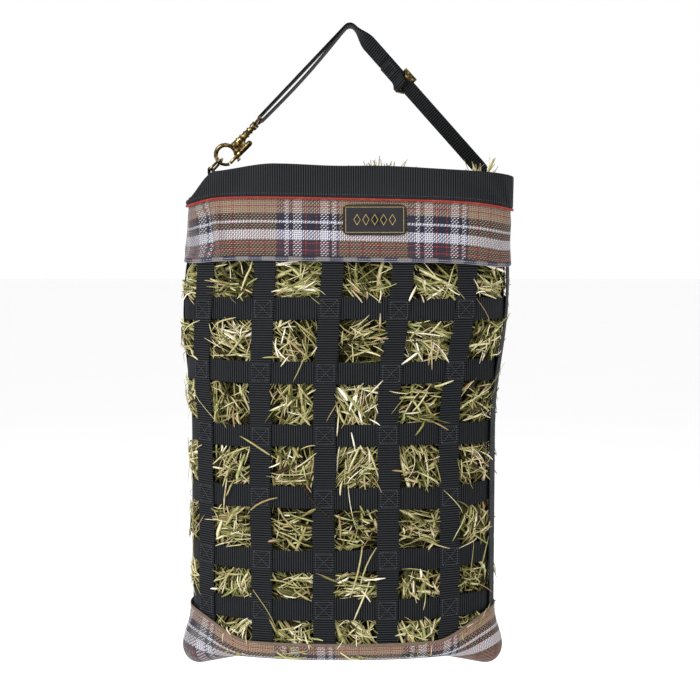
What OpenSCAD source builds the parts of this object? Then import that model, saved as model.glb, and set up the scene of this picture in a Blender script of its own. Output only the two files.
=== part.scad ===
// Slow-feed hay net: an open grid bag of webbing with a mesh collar and a mesh bottom,
// hung from an adjustable strap that clips to a D-ring with a swivel bolt snap.
// Millimetres, +Z up, the front faces -Y. The origin is where the strap bears on its hook.

/* [Webbing] */
// Width of the webbing in the net and in the strap
web_w = 25.4; // [20:0.2:26]
// Thickness of the webbing
web_t = 1.5; // [1:0.1:1.6]

/* [Bag] */
// Width of the bag at the rim
mouth_w = 386; // [380:1:390]
// Width of the bag at its shoulder, below the collar
shoulder_w = 384; // [370:1:400]
// Width of the lower bag
body_w = 362; // [340:1:380]
// Depth of the bag at the rim, front to back
mouth_d = 128; // [110:1:150]
// Depth of the filled bag, front to back
body_d = 168; // [140:1:200]
// Squareness of the filled bag's outline seen from above: 2 is an ellipse
body_n = 2.3; // [2:0.1:2.6]
// Squareness of the rim's outline
rim_n = 3.5; // [3:0.1:4]
// How far the side seams are drawn in at the rim
side_pinch = 27; // [26:0.5:28]
// How far round each side that pinch reaches
pinch_reach = 22; // [18:1:24]
// How far the lower bag hangs to the left of the mouth
lean = 9; // [0:1:12]
// Height of the rim
rim_z = -168; // [-170:1:-166]
// Height of the middle of the bottom
bottom_z = -740; // [-760:1:-735]

/* [Collar] */
// Height of the webbing band round the rim
band_h = 36; // [30:1:40]
// Thickness of the band
band_t = 2; // [1.5:0.1:2.2]
// Thickness of the mesh in the collar and the bottom panel
mesh_t = 0.9; // [0.6:0.1:1]
// Height of the collar's lower hem
hem_z = -271; // [-275:1:-265]
// Height of the folded hem itself
hem_h = 5; // [4:1:8]
// Radius of the piping under the band
piping_r = 1.5; // [1:0.1:1.6]
// How far the rim tilts down towards the right
rim_tilt = 4; // [0:1:6]
// How far the rim droops at its corners
corner_droop = 8; // [0:1:10]
// Left edge of the woven label
label_x = -8; // [-40:1:20]
// Width of the woven label
label_w = 72; // [40:1:80]
// Height of the woven label
label_h = 35; // [20:1:36]
// Gap from the band down to the label
label_gap = 7.5; // [6:0.5:14]

/* [Net] */
// Number of level hoops
hoops = 6; // [4:1:6]
// Height of the top hoop's middle
hoop_top_z = -330; // [-335:1:-325]
// Distance from one hoop to the next
hoop_pitch = 72.3; // [68:0.1:72.5]
// How much higher the lowest hoop sits than an even spacing would put it
last_hoop_lift = 14; // [0:1:20]
// Number of upright straps round the bag
uprights = 12; // [8:1:12]
// How far round the bag the uprights are turned from an even front
grid_turn = 22; // [0:1:30]
// How much of that turn is lost lower down
grid_slant = 6; // [0:1:10]

/* [Bottom panel] */
// Height of the panel's edge at the middle of the front
panel_z = -716; // [-720:1:-712]
// How much higher the edge is at the sides
panel_rise = 28; // [10:1:28]
// How far the corners bulge out
ear_out = 15; // [0:1:16]
// How far the corners hang below the middle
ear_drop = 14; // [0:1:15]
// Radius of the bottom's rounded edge
bottom_r = 19; // [16:1:20]

/* [Hang strap] */
// Radius of the hook that the strap hangs on
hook_r = 6; // [5:0.5:8]
// Slope of the left leg
left_a = 46.8; // [46:0.1:47.5]
// Length of the left leg, from the top to the snap's eye
left_l = 152.6; // [152:0.1:153]
// Slope of the right leg
right_a = 48; // [47.5:0.1:48.5]
// Length of the right leg, from the top to the bend at the rim
right_l = 237; // [235:1:239]
// Twist of the right leg
strap_twist = 33; // [20:1:40]
// Distance along the right leg to the slider
slider_at = 92; // [90:1:110]
// Length of the sewn fold on the slider
fold_l = 34; // [25:1:34]
// Travel of the slider each way
slider_travel = 20; // [10:1:20]
// Free length each side of the bend at the rim
bend_l = 9; // [8:1:10]

/* [Snap] */
// Slope of the snap
snap_a = 45.3; // [44:0.1:46]
// Distance from the eye's bar to the middle of the hook
snap_l = 59.5; // [58:0.5:60]
// Radius of the hook to the middle of its wire
ring_r = 11.3; // [11:0.1:11.5]
// Radius of the hook's wire
ring_wire = 1.9; // [1.6:0.1:2]
// Distance of the bolt from the snap's own axis
bolt_x = 10.3; // [10:0.1:10.5]
// Radius of the bolt
bolt_r = 2; // [1.6:0.1:2.1]
// Distance from the eye's bar to the D-ring's bar
d_bar_l = 84.5; // [84:0.5:86]
// Half width of the D-ring, to the middle of its wire
d_half = 14; // [13.5:0.5:15]
// Radius of the D-ring's wire
d_wire = 1.5; // [1.2:0.1:1.6]

/* [Hidden] */
webbing_c = "#202226";
thread_c = "#5a5c60";
red_c = "#b03a30";
plaid_c = "#a58a6e";
brass_c = "#8a6d35";
hay_c = "#b5a860";
fit = 0.3;          // running clearance
layer_gap = 0.2;    // gap between two layers of webbing
skin_gap = 0.5;     // gap between the mesh and what lies on it
ring_n = 60;        // stations round the bag
upright_n = 28;     // steps down an upright
waist_z = hoop_top_z - 140;
neck_z = rim_z - 122;
upright_off = 0.1;  // the uprights lie on the hoops
mesh_off = upright_off + web_t + 1;
band_off = mesh_off + mesh_t + skin_gap;
hay_off = -6;       // the hay stands this far inside the net
collar_n = 8;       // steps down the collar
band_lap = 8;       // how far the band covers the collar
band_n = 4;         // steps down the band round the rim
hay_n = 20;         // steps down the hay
tuck = 7;           // length of an upright under the collar
dip = 1.2;          // how far an upright sinks in to go under the collar
low_tuck = 4;       // length of an upright under the bottom panel
rise_from = 0.58;   // share of the half width where the panel's edge starts to rise
ear_at = 70;        // angle of a bottom corner, from the front or the back
ear_spread = 16;    // how many degrees a corner reaches to each side
floor_shares = [0.6, 0.25];  // sizes of the two rings in the bottom panel's floor
strap_off = (web_t + layer_gap) / 2;
bend_r = hook_r + web_t + layer_gap / 2;
left_arc = bend_r * left_a * PI / 180;
right_arc = bend_r * right_a * PI / 180;
twist_from = 6;
twist_to = 32;
return_end = slider_at - fold_l - slider_travel - 2;
eye_r = 1.6;
eye_off = eye_r + fit + web_t / 2;
bar_r = 1.4;        // the slider's wire
bar_gap = 8;        // from the slider's middle bar to each outer bar
rail_out = 2;       // how far the slider's rails stand clear of the strap
arm_out = 1.8;      // the same for the arms of the snap's eye
neck_at = -11;      // bottom of the snap's eye, along the snap
neck_r = 4.6;       // radius of the swivel
rivet_r = 1.6;      // radius of the swivel's rivet
barrel_r = 5.2;     // radius of the snap's barrel at its lower end
bolt_tube_r = 3.4;  // radius of the tube that holds the bolt
tab_drop = 32;      // length of the D-ring's tab below the bar
label_t = 0.8;
bolt_top = -46;
bolt_end = -snap_l - 3.4;
barrel_end = -46;
spring_top = -32;
$fn = 48;

// ---- the bag's outline ----

function smooth(a, b, x) = let (t = max(0, min(1, (x - a) / (b - a)))) t * t * (3 - 2 * t);
function signed_pow(v, p) = sign(v) * pow(abs(v), p);
function half_w(z) = body_w / 2
    + (shoulder_w - body_w) / 2 * smooth(waist_z, hoop_top_z, z)
    + (mouth_w - shoulder_w) / 2 * smooth(hem_z - 9, rim_z - 7, z);
function half_d(z) = body_d / 2 - (body_d - mouth_d) / 2 * smooth(hoop_top_z, rim_z - 7, z);
function centre_x(z) = -lean * (1 - smooth(waist_z + 30, rim_z - 12, z));
function rim_share(z) = smooth(neck_z, rim_z - 7, z);
function outline_n(z) = body_n + (rim_n - body_n) * rim_share(z);

// A point of the outline at height z. Angle -90 is the front, 0 the right side.
function outline(t, z) =
    let (p = 2 / outline_n(z))
    let (x = half_w(z) * signed_pow(cos(t), p), y = half_d(z) * signed_pow(sin(t), p))
    let (pinch = side_pinch * rim_share(z) * exp(-pow(y / pinch_reach, 2)))
    [centre_x(z) + x - pinch * sign(x), y];

// Angle for a share u of the way round, measured along the lower bag's outline.
arc_table = [
    for (i = 0, s = 0; i <= 180;
         s = s + norm(outline(2 * i - 88, waist_z) - outline(2 * i - 90, waist_z)), i = i + 1)
    [s, 2 * i - 90]
];
loop_l = arc_table[180][0];
function angle(u) = lookup((u - floor(u)) * loop_l, arc_table);

function normal(u, z) =
    let (t = angle(u), d = outline(t + 1, z) - outline(t - 1, z))
    [d[1], -d[0], 0] / norm(d);
// The point at share u, height z and distance off outside the outline.
function place(u, z, off = 0) =
    let (p = outline(angle(u), z))
    [p[0], p[1], z] + off * normal(u, z);

// The front's point at x and height z, moved off towards the front.
function front_point(x, z, off) =
    let (n = outline_n(z), y = half_d(z) * pow(1 - pow(abs(x - centre_x(z)) / half_w(z), n), 1 / n))
    [x, -y - off, z];

// The rim and what follows it tilt down to the right and droop at the corners.
function rim_wave(u) =
    let (x = outline(angle(u), rim_z)[0] / 190)
    -rim_tilt * x - corner_droop * pow(abs(x), 6);
function rim_top(u) = rim_z + rim_wave(u);
function band_low(u) = rim_top(u) - band_h;
function hem_top(u) = hem_z + 0.6 * rim_wave(u);

function hoop_z(i) = hoop_top_z - (i - 1) * hoop_pitch + (i == hoops ? last_hoop_lift : 0);
function upright_u(k, z) =
    ((k - 3) * loop_l / uprights - loop_l / uprights / 2 + grid_turn
     - grid_slant * smooth(hoop_top_z + 30, waist_z + 20, z)) / loop_l;

// The bottom panel's edge rises towards the sides, and its four corners bulge and hang down.
function side_share(u) = abs(outline(angle(u), bottom_z)[0] - centre_x(bottom_z)) / (body_w / 2);
function panel_top(u) = panel_z + panel_rise * smooth(rise_from, 1, side_share(u));
function corner(u) =
    let (t = abs(((angle(u) + 360) % 180) - 90))
    exp(-pow((t - ear_at) / ear_spread, 2));

// ---- sweeping ----

// A solid through rings of points. Each ring has the same number of points.
module sweep(rings, closed = false) {
    n = len(rings);
    m = len(rings[0]);
    walls = [
        for (i = [0:(closed ? n - 1 : n - 2)])
        for (j = [0:m - 1])
        let (a = i * m + j, b = i * m + (j + 1) % m)
        let (c = ((i + 1) % n) * m + (j + 1) % m, d = ((i + 1) % n) * m + j)
        each [[a, c, b], [a, d, c]]
    ];
    ends = closed ? [] : [
        [for (j = [0:m - 1]) j],
        [for (j = [m - 1:-1:0]) (n - 1) * m + j]
    ];
    polyhedron(points = [for (r = rings) each r], faces = concat(walls, ends));
}

// A band right round the bag: corners(u) gives its section as [off, z] points.
module band(corners) {
    sweep([
        for (i = [ring_n - 1:-1:0])
        [for (c = corners(i / ring_n)) place(i / ring_n, c[1], c[0])]
    ], closed = true);
}

// The section of a flat strip that stands up from z0 to z1 in n steps.
function flat_section(off, t, z0, z1, n = 1) = concat(
    [for (i = [0:n]) [off + t, z0 + (z1 - z0) * i / n]],
    [for (i = [n:-1:0]) [off, z0 + (z1 - z0) * i / n]]
);

// ---- the strap's middle line, by distance s from the top: negative to the left ----

function heading(s) = max(-left_a, min(right_a, s / bend_r * 180 / PI));
function outward(s) = [sin(heading(s)), 0, cos(heading(s))];
function strap_mid(s) =
    [0, 0, -hook_r] + bend_r * outward(s)
    + max(0, s - right_arc) * [cos(right_a), 0, -sin(right_a)]
    + min(0, s + left_arc) * [cos(left_a), 0, sin(left_a)];
function twist(s) = -strap_twist * smooth(twist_from, twist_to, s);
function across(s) = [0, cos(twist(s)), 0] + sin(twist(s)) * outward(s);
function through(s) = [0, -sin(twist(s)), 0] + cos(twist(s)) * outward(s);
// The two layers part towards the eye of the snap.
function layer_off(s) = strap_off + (eye_off - strap_off) * max(0, -s) / left_l;
// One ring of webbing: its middle is r from the point p in the direction d.
function web_ring(p, w_dir, d, r) = [
    for (c = [[-1, -1], [1, -1], [1, 1], [-1, 1]])
    p + c[0] * web_w / 2 * w_dir + (r + c[1] * web_t / 2) * d
];
function outer_ring(s) = web_ring(strap_mid(s), across(s), through(s), layer_off(s));
function inner_ring(s) = web_ring(strap_mid(s), across(s), -through(s), layer_off(s));

eye = strap_mid(-left_l);
function snap_point(l) = eye - l * [cos(snap_a), 0, sin(snap_a)];
d_bar = snap_point(d_bar_l);

module at_snap() {
    translate(eye) rotate([0, 90 - snap_a, 0]) children();
}

module at_slider() {
    translate(strap_mid(slider_at)) rotate([0, right_a, 0]) rotate([-strap_twist, 0, 0]) children();
}

// A rod along Y through the point [x, z].
module rod_y(r, l, x = 0, z = 0) {
    translate([x, 0, z]) rotate([90, 0, 0]) cylinder(r = r, h = l, center = true);
}

// ---- hang strap ----

module hang_strap() {
    turn = [for (i = [-5:5]) i / 5];
    top = [for (i = turn) i < 0 ? -i * right_arc : -i * left_arc];
    ramp = [for (i = [6:-1:0]) twist_from + (twist_to - twist_from) * i / 6];
    leg = [0, 0, 0] - [cos(left_a), 0, sin(left_a)];
    color(webbing_c) sweep(concat(
        [for (s = concat([right_l - bend_l], ramp, top, [-left_l])) outer_ring(s)],
        [for (a = [20:20:160])
            web_ring(eye, [0, 1, 0], cos(a) * outward(-left_l) + sin(a) * leg, eye_off)],
        [for (s = concat([-left_l], [for (i = [len(top) - 1:-1:0]) top[i]],
                         [for (i = [len(ramp) - 1:-1:0]) ramp[i]], [return_end])) inner_ring(s)]
    ));
}

module strap_slack() {
    from = return_end + layer_gap;
    to = slider_at - fold_l - layer_gap;
    color(webbing_c) sweep([for (s = [from, to]) inner_ring(s)]);
}

// The stretch that bends as the bag swings: from the leg's end to the anchor inside the rim.
module strap_flex() {
    s = right_l - bend_l + layer_gap;
    a = outer_ring(s);
    b = [for (c = [[-1, -1], [1, -1], [1, 1], [-1, 1]])
        [anchor_x() + web_t / 2 * (1 + c[1]), c[0] * web_w / 2, anchor_top() + layer_gap]];
    color(webbing_c) sweep([for (i = [0:4]) [for (j = [0:3])
        a[j] + (b[j] - a[j]) * smooth(0, 4, i) + [0, 0, -2 * sin(45 * i)]]]);
}

// ---- slider ----

module slider_frame() {
    rail_y = web_w / 2 + rail_out;
    back_z = strap_off + web_t / 2 + fit + bar_r;
    front_z = -strap_off - web_t / 2 - fit - bar_r;
    end_x = bar_gap + bar_r;
    mid_x = bar_r + 1;
    color(brass_c) at_slider() {
        for (x = [-bar_gap, bar_gap]) rod_y(bar_r, 2 * rail_y, x, back_z);
        rod_y(bar_r, 2 * rail_y, 0, front_z);
        for (y = [-1, 1])
            translate([0, y * rail_y, 0]) rotate([90, 0, 0])
                linear_extrude(2 * bar_r, center = true)
                    polygon([[-end_x, back_z + bar_r], [-end_x, back_z - bar_r], [-mid_x, front_z - bar_r],
                             [mid_x, front_z - bar_r], [end_x, back_z - bar_r], [end_x, back_z + bar_r]]);
    }
}

module strap_end_fold() {
    bar_z = -strap_off - web_t / 2 - fit - bar_r;
    ri = bar_r + fit;
    ro = ri + web_t;
    flat_z = -strap_off - web_t / 2 - layer_gap;
    color(webbing_c) at_slider() rotate([90, 0, 0])
        linear_extrude(web_w, center = true) difference() {
            union() {
                translate([0, bar_z]) circle(ro);
                polygon([[0, bar_z + ro], [-fold_l, bar_z + ro], [-fold_l, flat_z - web_t],
                         [-14, flat_z - web_t], [-1, bar_z - ro]]);
            }
            translate([0, bar_z]) circle(ri);
            polygon([[0, bar_z + ri], [-12, bar_z + ri], [-12, bar_z + ri - 0.2], [-1, bar_z - ri]]);
        }
}

// ---- swivel bolt snap, along its own axis: the eye's bar is at 0 and the hook hangs below ----

module swivel_eye() {
    arm_y = web_w / 2 + arm_out;
    color(brass_c) at_snap() difference() {
        union() {
            rod_y(eye_r, 2 * arm_y + 2 * eye_r);
            rotate([90, 0, 90]) linear_extrude(2 * eye_r, center = true) difference() {
                polygon([[-arm_y - eye_r, 0], [-arm_y - eye_r, -4.6], [-5, neck_at], [5, neck_at],
                         [arm_y + eye_r, -4.6], [arm_y + eye_r, 0]]);
                polygon([[-arm_y + eye_r, 1], [-arm_y + eye_r, -3.8], [-4, -7.6], [4, -7.6],
                         [arm_y - eye_r, -3.8], [arm_y - eye_r, 1]]);
            }
            translate([0, 0, neck_at]) cylinder(r = neck_r, h = 3);
        }
        translate([0, 0, neck_at - 1]) cylinder(r = rivet_r + 0.05, h = 5);
    }
}

module swivel_rivet() {
    color(brass_c) at_snap() {
        translate([0, 0, -7.4]) cylinder(r = 2.7, h = 1.5);
        translate([0, 0, -14]) cylinder(r = rivet_r, h = 6.8);
    }
}

module snap_body() {
    ribs = [for (i = [0:3]) -19 - 6 * i];
    color(brass_c) at_snap() difference() {
        union() {
            rotate_extrude() polygon(concat(
                [[0, barrel_end], [barrel_r, barrel_end]],
                [for (i = [3:-1:0]) each [
                    [4.6 - 0.3 * (3 - i), ribs[i] - 1.4], [5.3 - 0.3 * (3 - i), ribs[i] - 0.8],
                    [5.3 - 0.3 * (3 - i), ribs[i] + 0.8], [4.4 - 0.3 * (3 - i), ribs[i] + 1.4]]],
                [[3.2, -15.4], [neck_r, -14.6], [neck_r, neck_at - 0.4], [0, neck_at - 0.4]]));
            rotate([90, 0, 0]) linear_extrude(5, center = true)
                polygon([[0, -30], [bolt_x, -34], [bolt_x, -51], [6, -50], [2, -47.5], [0, -47]]);
            translate([bolt_x, 0, -52]) cylinder(r = bolt_tube_r, h = 22);
            translate([bolt_x, 0, -30]) sphere(r = bolt_tube_r);
            translate([0, 0, -snap_l]) rotate([90, 0, 0]) rotate([0, 0, 42])
                rotate_extrude(angle = 294) translate([ring_r, 0]) circle(ring_wire);
        }
        translate([bolt_x, 0, -53]) cylinder(r = bolt_r + 0.1, h = 53 + spring_top);
        translate([bolt_x, -1.6, -53]) cube([5, 3.2, 12]);
        translate([0, 0, -15]) cylinder(r = rivet_r, h = 5);
    }
}

module snap_bolt() {
    color(brass_c) at_snap()
        translate([bolt_x, 0, bolt_end]) cylinder(r = bolt_r, h = bolt_top - bolt_end);
}

module thumb_knob() {
    color(brass_c) at_snap() translate([bolt_x + bolt_r, 0, -52.6]) rotate([0, 90, 0]) {
        cylinder(r = 1.3, h = 2.4);
        translate([0, 0, 1.9]) cylinder(r = 2.6, h = 1.8);
    }
}

module bolt_spring() {
    color("silver") at_snap()
        translate([bolt_x, 0, bolt_top + fit]) difference() {
            cylinder(r = bolt_r - 0.2, h = spring_top - bolt_top - 2 * fit);
            translate([0, 0, -1]) cylinder(r = bolt_r - 0.8, h = spring_top - bolt_top + 2);
        }
}

// ---- D-ring and its tab ----

module d_ring() {
    top_z = -snap_l - ring_r + ring_wire + 1.2 + d_wire;
    arc_z = top_z - d_half;
    color(brass_c) at_snap() {
        rod_y(d_wire, 2 * d_half, 0, -d_bar_l);
        for (y = [-d_half, d_half]) {
            translate([0, y, -d_bar_l]) sphere(r = d_wire);
            translate([0, y, -d_bar_l]) cylinder(r = d_wire, h = arc_z + d_bar_l);
        }
        translate([0, 0, arc_z]) rotate([90, 0, 90]) rotate_extrude(angle = 180)
            translate([d_half, 0]) circle(d_wire);
    }
}

// The tab is folded over the bar, with both layers sewn inside the rim.
module d_ring_tab() {
    ri = d_wire + fit;
    ro = ri + web_t;
    color(webbing_c) translate(d_bar) rotate([90, 0, 0])
        linear_extrude(2 * (d_half - d_wire) - 1, center = true) difference() {
            union() {
                circle(ro);
                translate([-ro, -tab_drop]) square([2 * ro, tab_drop]);
            }
            circle(ri);
            translate([-ri, -8]) square([2 * ri, 8]);
            translate([-0.1, -tab_drop - 1]) square([0.2, tab_drop]);
        }
}

function anchor_x() = place(0.25, rim_z - 20)[0] - 2.5;
function anchor_top() = rim_z - 13;

module strap_anchor() {
    color(webbing_c) translate([anchor_x(), -web_w / 2, rim_z - 38])
        cube([web_t, web_w, anchor_top() - rim_z + 38]);
}

// ---- mouth ----

module rim_band() {
    color(webbing_c) band(function(u) flat_section(band_off, band_t, band_low(u), rim_top(u), band_n));
}

module rim_piping() {
    off = mesh_off + mesh_t + skin_gap + piping_r;
    color(red_c) band(function(u) [
        for (a = [0:60:300])
        [off + piping_r * cos(a), band_low(u) - piping_r - 0.1 + piping_r * sin(a)]
    ]);
}

module plaid_collar() {
    color(plaid_c) band(function(u)
        flat_section(mesh_off, mesh_t, hem_top(u), band_low(u) + band_lap, collar_n));
}

module collar_hem() {
    color(thread_c) band(function(u)
        flat_section(mesh_off, mesh_t + 0.4, hem_top(u) - 0.1 - hem_h, hem_top(u) - 0.1));
}

module woven_label() {
    low_z = rim_z - band_h - label_gap - label_h;
    color("#101114") sweep([
        for (i = [6:-1:0])
        [for (c = flat_section(mesh_off + mesh_t + skin_gap, label_t, low_z, low_z + label_h))
            front_point(label_x + label_w * i / 6, c[1], c[0])]
    ]);
}

// ---- net ----

module hoop(i) {
    z = hoop_z(i);
    color(webbing_c) band(function(u) flat_section(-web_t, web_t, z - web_w / 2, z + web_w / 2));
}

// How far an upright stands off the outline: it dips inwards above the top hoop.
function upright_in(z) = upright_off - dip * smooth(hoop_top_z + web_w / 2 + 2, hem_z - hem_h - 4, z);

module upright(k) {
    top = hem_top(upright_u(k, hem_z)) - hem_h + tuck;
    low = panel_top(upright_u(k, panel_z)) - low_tuck;
    color(webbing_c) sweep([
        for (i = [0:upright_n])
        let (z = top + (low - top) * i / upright_n, u = upright_u(k, z))
        let (n = normal(u, z), along = [-n[1], n[0], 0])
        [for (c = [[-1, 0], [1, 0], [1, 1], [-1, 1]])
            place(u, z) + c[0] * web_w / 2 * along + (upright_in(z) + c[1] * web_t) * n]
    ]);
}

// A point on the outer face of upright k, x to the side of its middle and off above it.
function on_upright(k, x, z, off) =
    let (u = upright_u(k, z), n = normal(u, z))
    place(u, z) + x * [-n[1], n[0], 0] + (upright_off + web_t + off) * n;

module cross_stitches() {
    outer = web_w / 2 - 2.5;
    inner = outer - 1.5;
    color(thread_c) for (i = [1:hoops]) for (k = [1:uprights]) sweep([
        for (c = [[-1, -1], [1, -1], [1, 1], [-1, 1]])
        [for (s = [[inner, 0.15], [inner, 0.6], [outer, 0.6], [outer, 0.15]])
            on_upright(k, c[0] * s[0], hoop_z(i) + c[1] * s[0], s[1])]
    ], closed = true);
}

// A ring of the bottom panel. Rows 0 and 1 are its wall, 2 to 5 its rounded edge,
// and 6 and 7 its floor; in is how far the ring lies inside the outer face.
function panel_ring(row, in) = [
    for (i = [0:ring_n - 1])
    let (u = i / ring_n, c = corner(u))
    let (r = bottom_r - in, low = bottom_z - ear_drop * c + in)
    let (a = 30 * max(0, min(3, row - 2)))
    let (wall_z = low + r + (panel_top(u) - low - r) * (2 - min(2, row)) / 2)
    let (z = row <= 2 ? wall_z : low + r * (1 - sin(a)))
    let (bulge = ear_out * c * smooth(panel_top(u), low + r, z))
    let (p = place(u, z, mesh_off + mesh_t - in + bulge - r * (1 - cos(a))))
    let (share = row > 5 ? floor_shares[row - 6] : 1)
    let (flat_z = bottom_z + in)
    [centre_x(bottom_z) + (p[0] - centre_x(bottom_z)) * share, p[1] * share,
     row > 5 ? flat_z + (p[2] - flat_z) * (row == 6 ? 0.3 : 0) : p[2]]
];

module bottom_panel() {
    color(plaid_c) sweep(concat(
        [for (row = [7:-1:0]) panel_ring(row, mesh_t)],
        [for (row = [0:7]) panel_ring(row, 0)]
    ));
}

// The hay stands a little inside the net and is domed at the top.
module hay_fill() {
    low = bottom_z + mesh_t + 3;
    high = rim_z - 44;
    levels = [for (i = [0:hay_n]) low + bottom_r + (high - low - bottom_r) * i / hay_n];
    sides = [for (i = [0:ring_n - 1]) i / ring_n];
    function ring(z, share, lift, off) = [
        for (u = sides)
        let (p = place(u, z, off))
        [centre_x(z) + (p[0] - centre_x(z)) * share, p[1] * share, z + lift]
    ];
    color(hay_c) sweep([for (r = concat(
        [ring(low + bottom_r, 0.7, -bottom_r, hay_off), ring(low + bottom_r, 0.93, -bottom_r * 0.8, hay_off)],
        [for (z = levels) ring(z, 1, 0, hay_off)],
        [ring(high, 0.85, 9, hay_off), ring(high, 0.5, 20, hay_off)]
    )) [for (i = [len(r) - 1:-1:0]) r[i]]]);
}

hang_strap();
strap_slack();
strap_flex();
slider_frame();
strap_end_fold();
swivel_eye();
swivel_rivet();
snap_body();
snap_bolt();
thumb_knob();
bolt_spring();
d_ring();
d_ring_tab();
strap_anchor();
rim_band();
rim_piping();
plaid_collar();
collar_hem();
woven_label();
cross_stitches();
bottom_panel();
hay_fill();
for (i = [1:hoops]) hoop(i);
for (k = [1:uprights]) upright(k);
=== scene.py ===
import bpy
import math
import numpy as np
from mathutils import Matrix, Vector


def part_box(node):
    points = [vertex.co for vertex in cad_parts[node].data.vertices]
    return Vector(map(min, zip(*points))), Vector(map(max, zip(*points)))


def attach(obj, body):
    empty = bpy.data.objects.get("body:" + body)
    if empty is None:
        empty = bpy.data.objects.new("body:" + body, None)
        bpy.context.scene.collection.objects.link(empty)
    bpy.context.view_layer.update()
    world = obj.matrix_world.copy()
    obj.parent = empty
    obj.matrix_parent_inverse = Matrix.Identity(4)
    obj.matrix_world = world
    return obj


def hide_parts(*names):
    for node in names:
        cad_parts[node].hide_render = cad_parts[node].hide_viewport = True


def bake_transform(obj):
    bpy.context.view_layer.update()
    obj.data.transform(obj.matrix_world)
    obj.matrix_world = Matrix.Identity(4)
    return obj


# Slow-feed hay net. Lengths in the shapes below are millimetres, and makePiece turns them to metres.
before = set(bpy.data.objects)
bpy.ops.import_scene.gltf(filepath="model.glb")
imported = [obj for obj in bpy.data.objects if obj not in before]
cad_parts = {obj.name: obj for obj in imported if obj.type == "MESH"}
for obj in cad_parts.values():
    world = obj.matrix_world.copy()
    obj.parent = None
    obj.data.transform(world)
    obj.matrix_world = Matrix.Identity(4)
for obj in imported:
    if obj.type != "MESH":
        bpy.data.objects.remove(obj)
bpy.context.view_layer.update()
scene = bpy.context.scene
print("frame loaded")

# ---------- the bag's outline ----------
bag = dict(
    mouthWidth=386, shoulderWidth=384, bodyWidth=362, mouthDepth=128, bodyDepth=168,
    bodyPower=2.3, rimPower=3.5, sidePinch=27, pinchReach=22, lean=9,
    rimHeight=-168, hemHeight=-271, bottomHeight=-740, rimTilt=4, cornerDroop=8,
    hoopCount=6, hoopTop=-330, hoopPitch=72.3, lastHoopLift=14,
    uprightCount=12, gridTurn=22, gridSlant=6, panelHeight=-716, panelRise=28, riseFrom=0.58,
    earAt=70, earSpread=16, earOut=15, earDrop=14,
)
waist = bag["hoopTop"] - 140
neck = bag["rimHeight"] - 122
web = dict(width=25.4, thick=1.5, ribPitch=2.75, ribDepth=0.24, samplesPerRib=4)
meshOff, meshThick = 2.6, 0.9
bandOff, bandThick, bandHeight = meshOff + meshThick + 0.5, 2.0, 36.0


def smooth(a, b, x):
    # 0 before a, 1 after b, and 3t^2 - 2t^3 between them
    t = np.clip((x - a) / (b - a), 0, 1)
    return t * t * (3 - 2 * t)


def arcLengths(points):
    # distance along a row of points, from its first
    return np.concatenate([[0], np.cumsum(np.linalg.norm(np.diff(points, axis=0), axis=1))])


def rimShare(z):
    # 0 below the collar and 1 at the rim
    return smooth(neck, bag["rimHeight"] - 7, z)


def power(z):
    # the superellipse's power: rounder down the body, squarer at the rim
    return bag["bodyPower"] + (bag["rimPower"] - bag["bodyPower"]) * rimShare(z)


def halfWidth(z):
    # half the body's width, plus a smooth step to the shoulder and another to the mouth
    shoulder = smooth(waist, bag["hoopTop"], z) * (bag["shoulderWidth"] - bag["bodyWidth"]) / 2
    mouth = (smooth(bag["hemHeight"] - 9, bag["rimHeight"] - 7, z)
             * (bag["mouthWidth"] - bag["shoulderWidth"]) / 2)
    return bag["bodyWidth"] / 2 + shoulder + mouth


def halfDepth(z):
    # half the body's depth, less a smooth step up to the mouth
    drop = (bag["bodyDepth"] - bag["mouthDepth"]) / 2
    return bag["bodyDepth"] / 2 - drop * smooth(bag["hoopTop"], bag["rimHeight"] - 7, z)


def centreX(z):
    # the lower bag hangs to the left of the mouth
    return -bag["lean"] * (1 - smooth(waist + 30, bag["rimHeight"] - 12, z))


def contour(w, z, off=0.0):
    # superellipse in polar form, r = (|cos w|^n + |sin w|^n)^(-1/n), stretched to the half width and depth;
    # both sides are drawn in by a bell of y, and the point moves out along the outline's own normal
    n, a, b = power(z), halfWidth(z), halfDepth(z)
    c, s = np.cos(w), np.sin(w)
    r = (np.abs(c) ** n + np.abs(s) ** n) ** (-1 / n)
    x, y = a * r * c, b * r * s
    nx = np.sign(c) * np.abs(x / a) ** (n - 1) / a
    ny = np.sign(s) * np.abs(y / b) ** (n - 1) / b
    bell = bag["sidePinch"] * rimShare(z) * np.exp(-(y / bag["pinchReach"]) ** 2) * np.sign(c)
    tx = -ny + bell * 2 * y / bag["pinchReach"] ** 2 * nx
    length = np.hypot(tx, nx) + 1e-12
    nx, ny = nx / length, -tx / length
    x = centreX(z) + x - bell + off * nx
    return np.stack([x, y + off * ny, z + 0 * x], -1), np.stack([nx, ny, 0 * x], -1)


def stepOutline(t, z):
    # the same superellipse by its own angle t: x = a |cos t|^(2/n), y = b |sin t|^(2/n)
    n = power(z)
    c, s = np.cos(t), np.sin(t)
    return np.arctan2(np.sign(s) * np.abs(s) ** (2 / n), np.sign(c) * np.abs(c) ** (2 / n))


stepAngles = np.radians(np.arange(-90, 271, 2.0))
stepPoints = contour(stepOutline(stepAngles, waist), waist)[0]
stepArc = arcLengths(stepPoints)
loopLength = stepArc[-1]


def place(u, z, off=0.0):
    # share u of the way round from the front centre, at height z
    u, z = np.broadcast_arrays(np.asarray(u, float), np.asarray(z, float))
    t = np.interp((u - np.floor(u)) * loopLength, stepArc, stepAngles)
    return contour(stepOutline(t, z), z, off)


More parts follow.
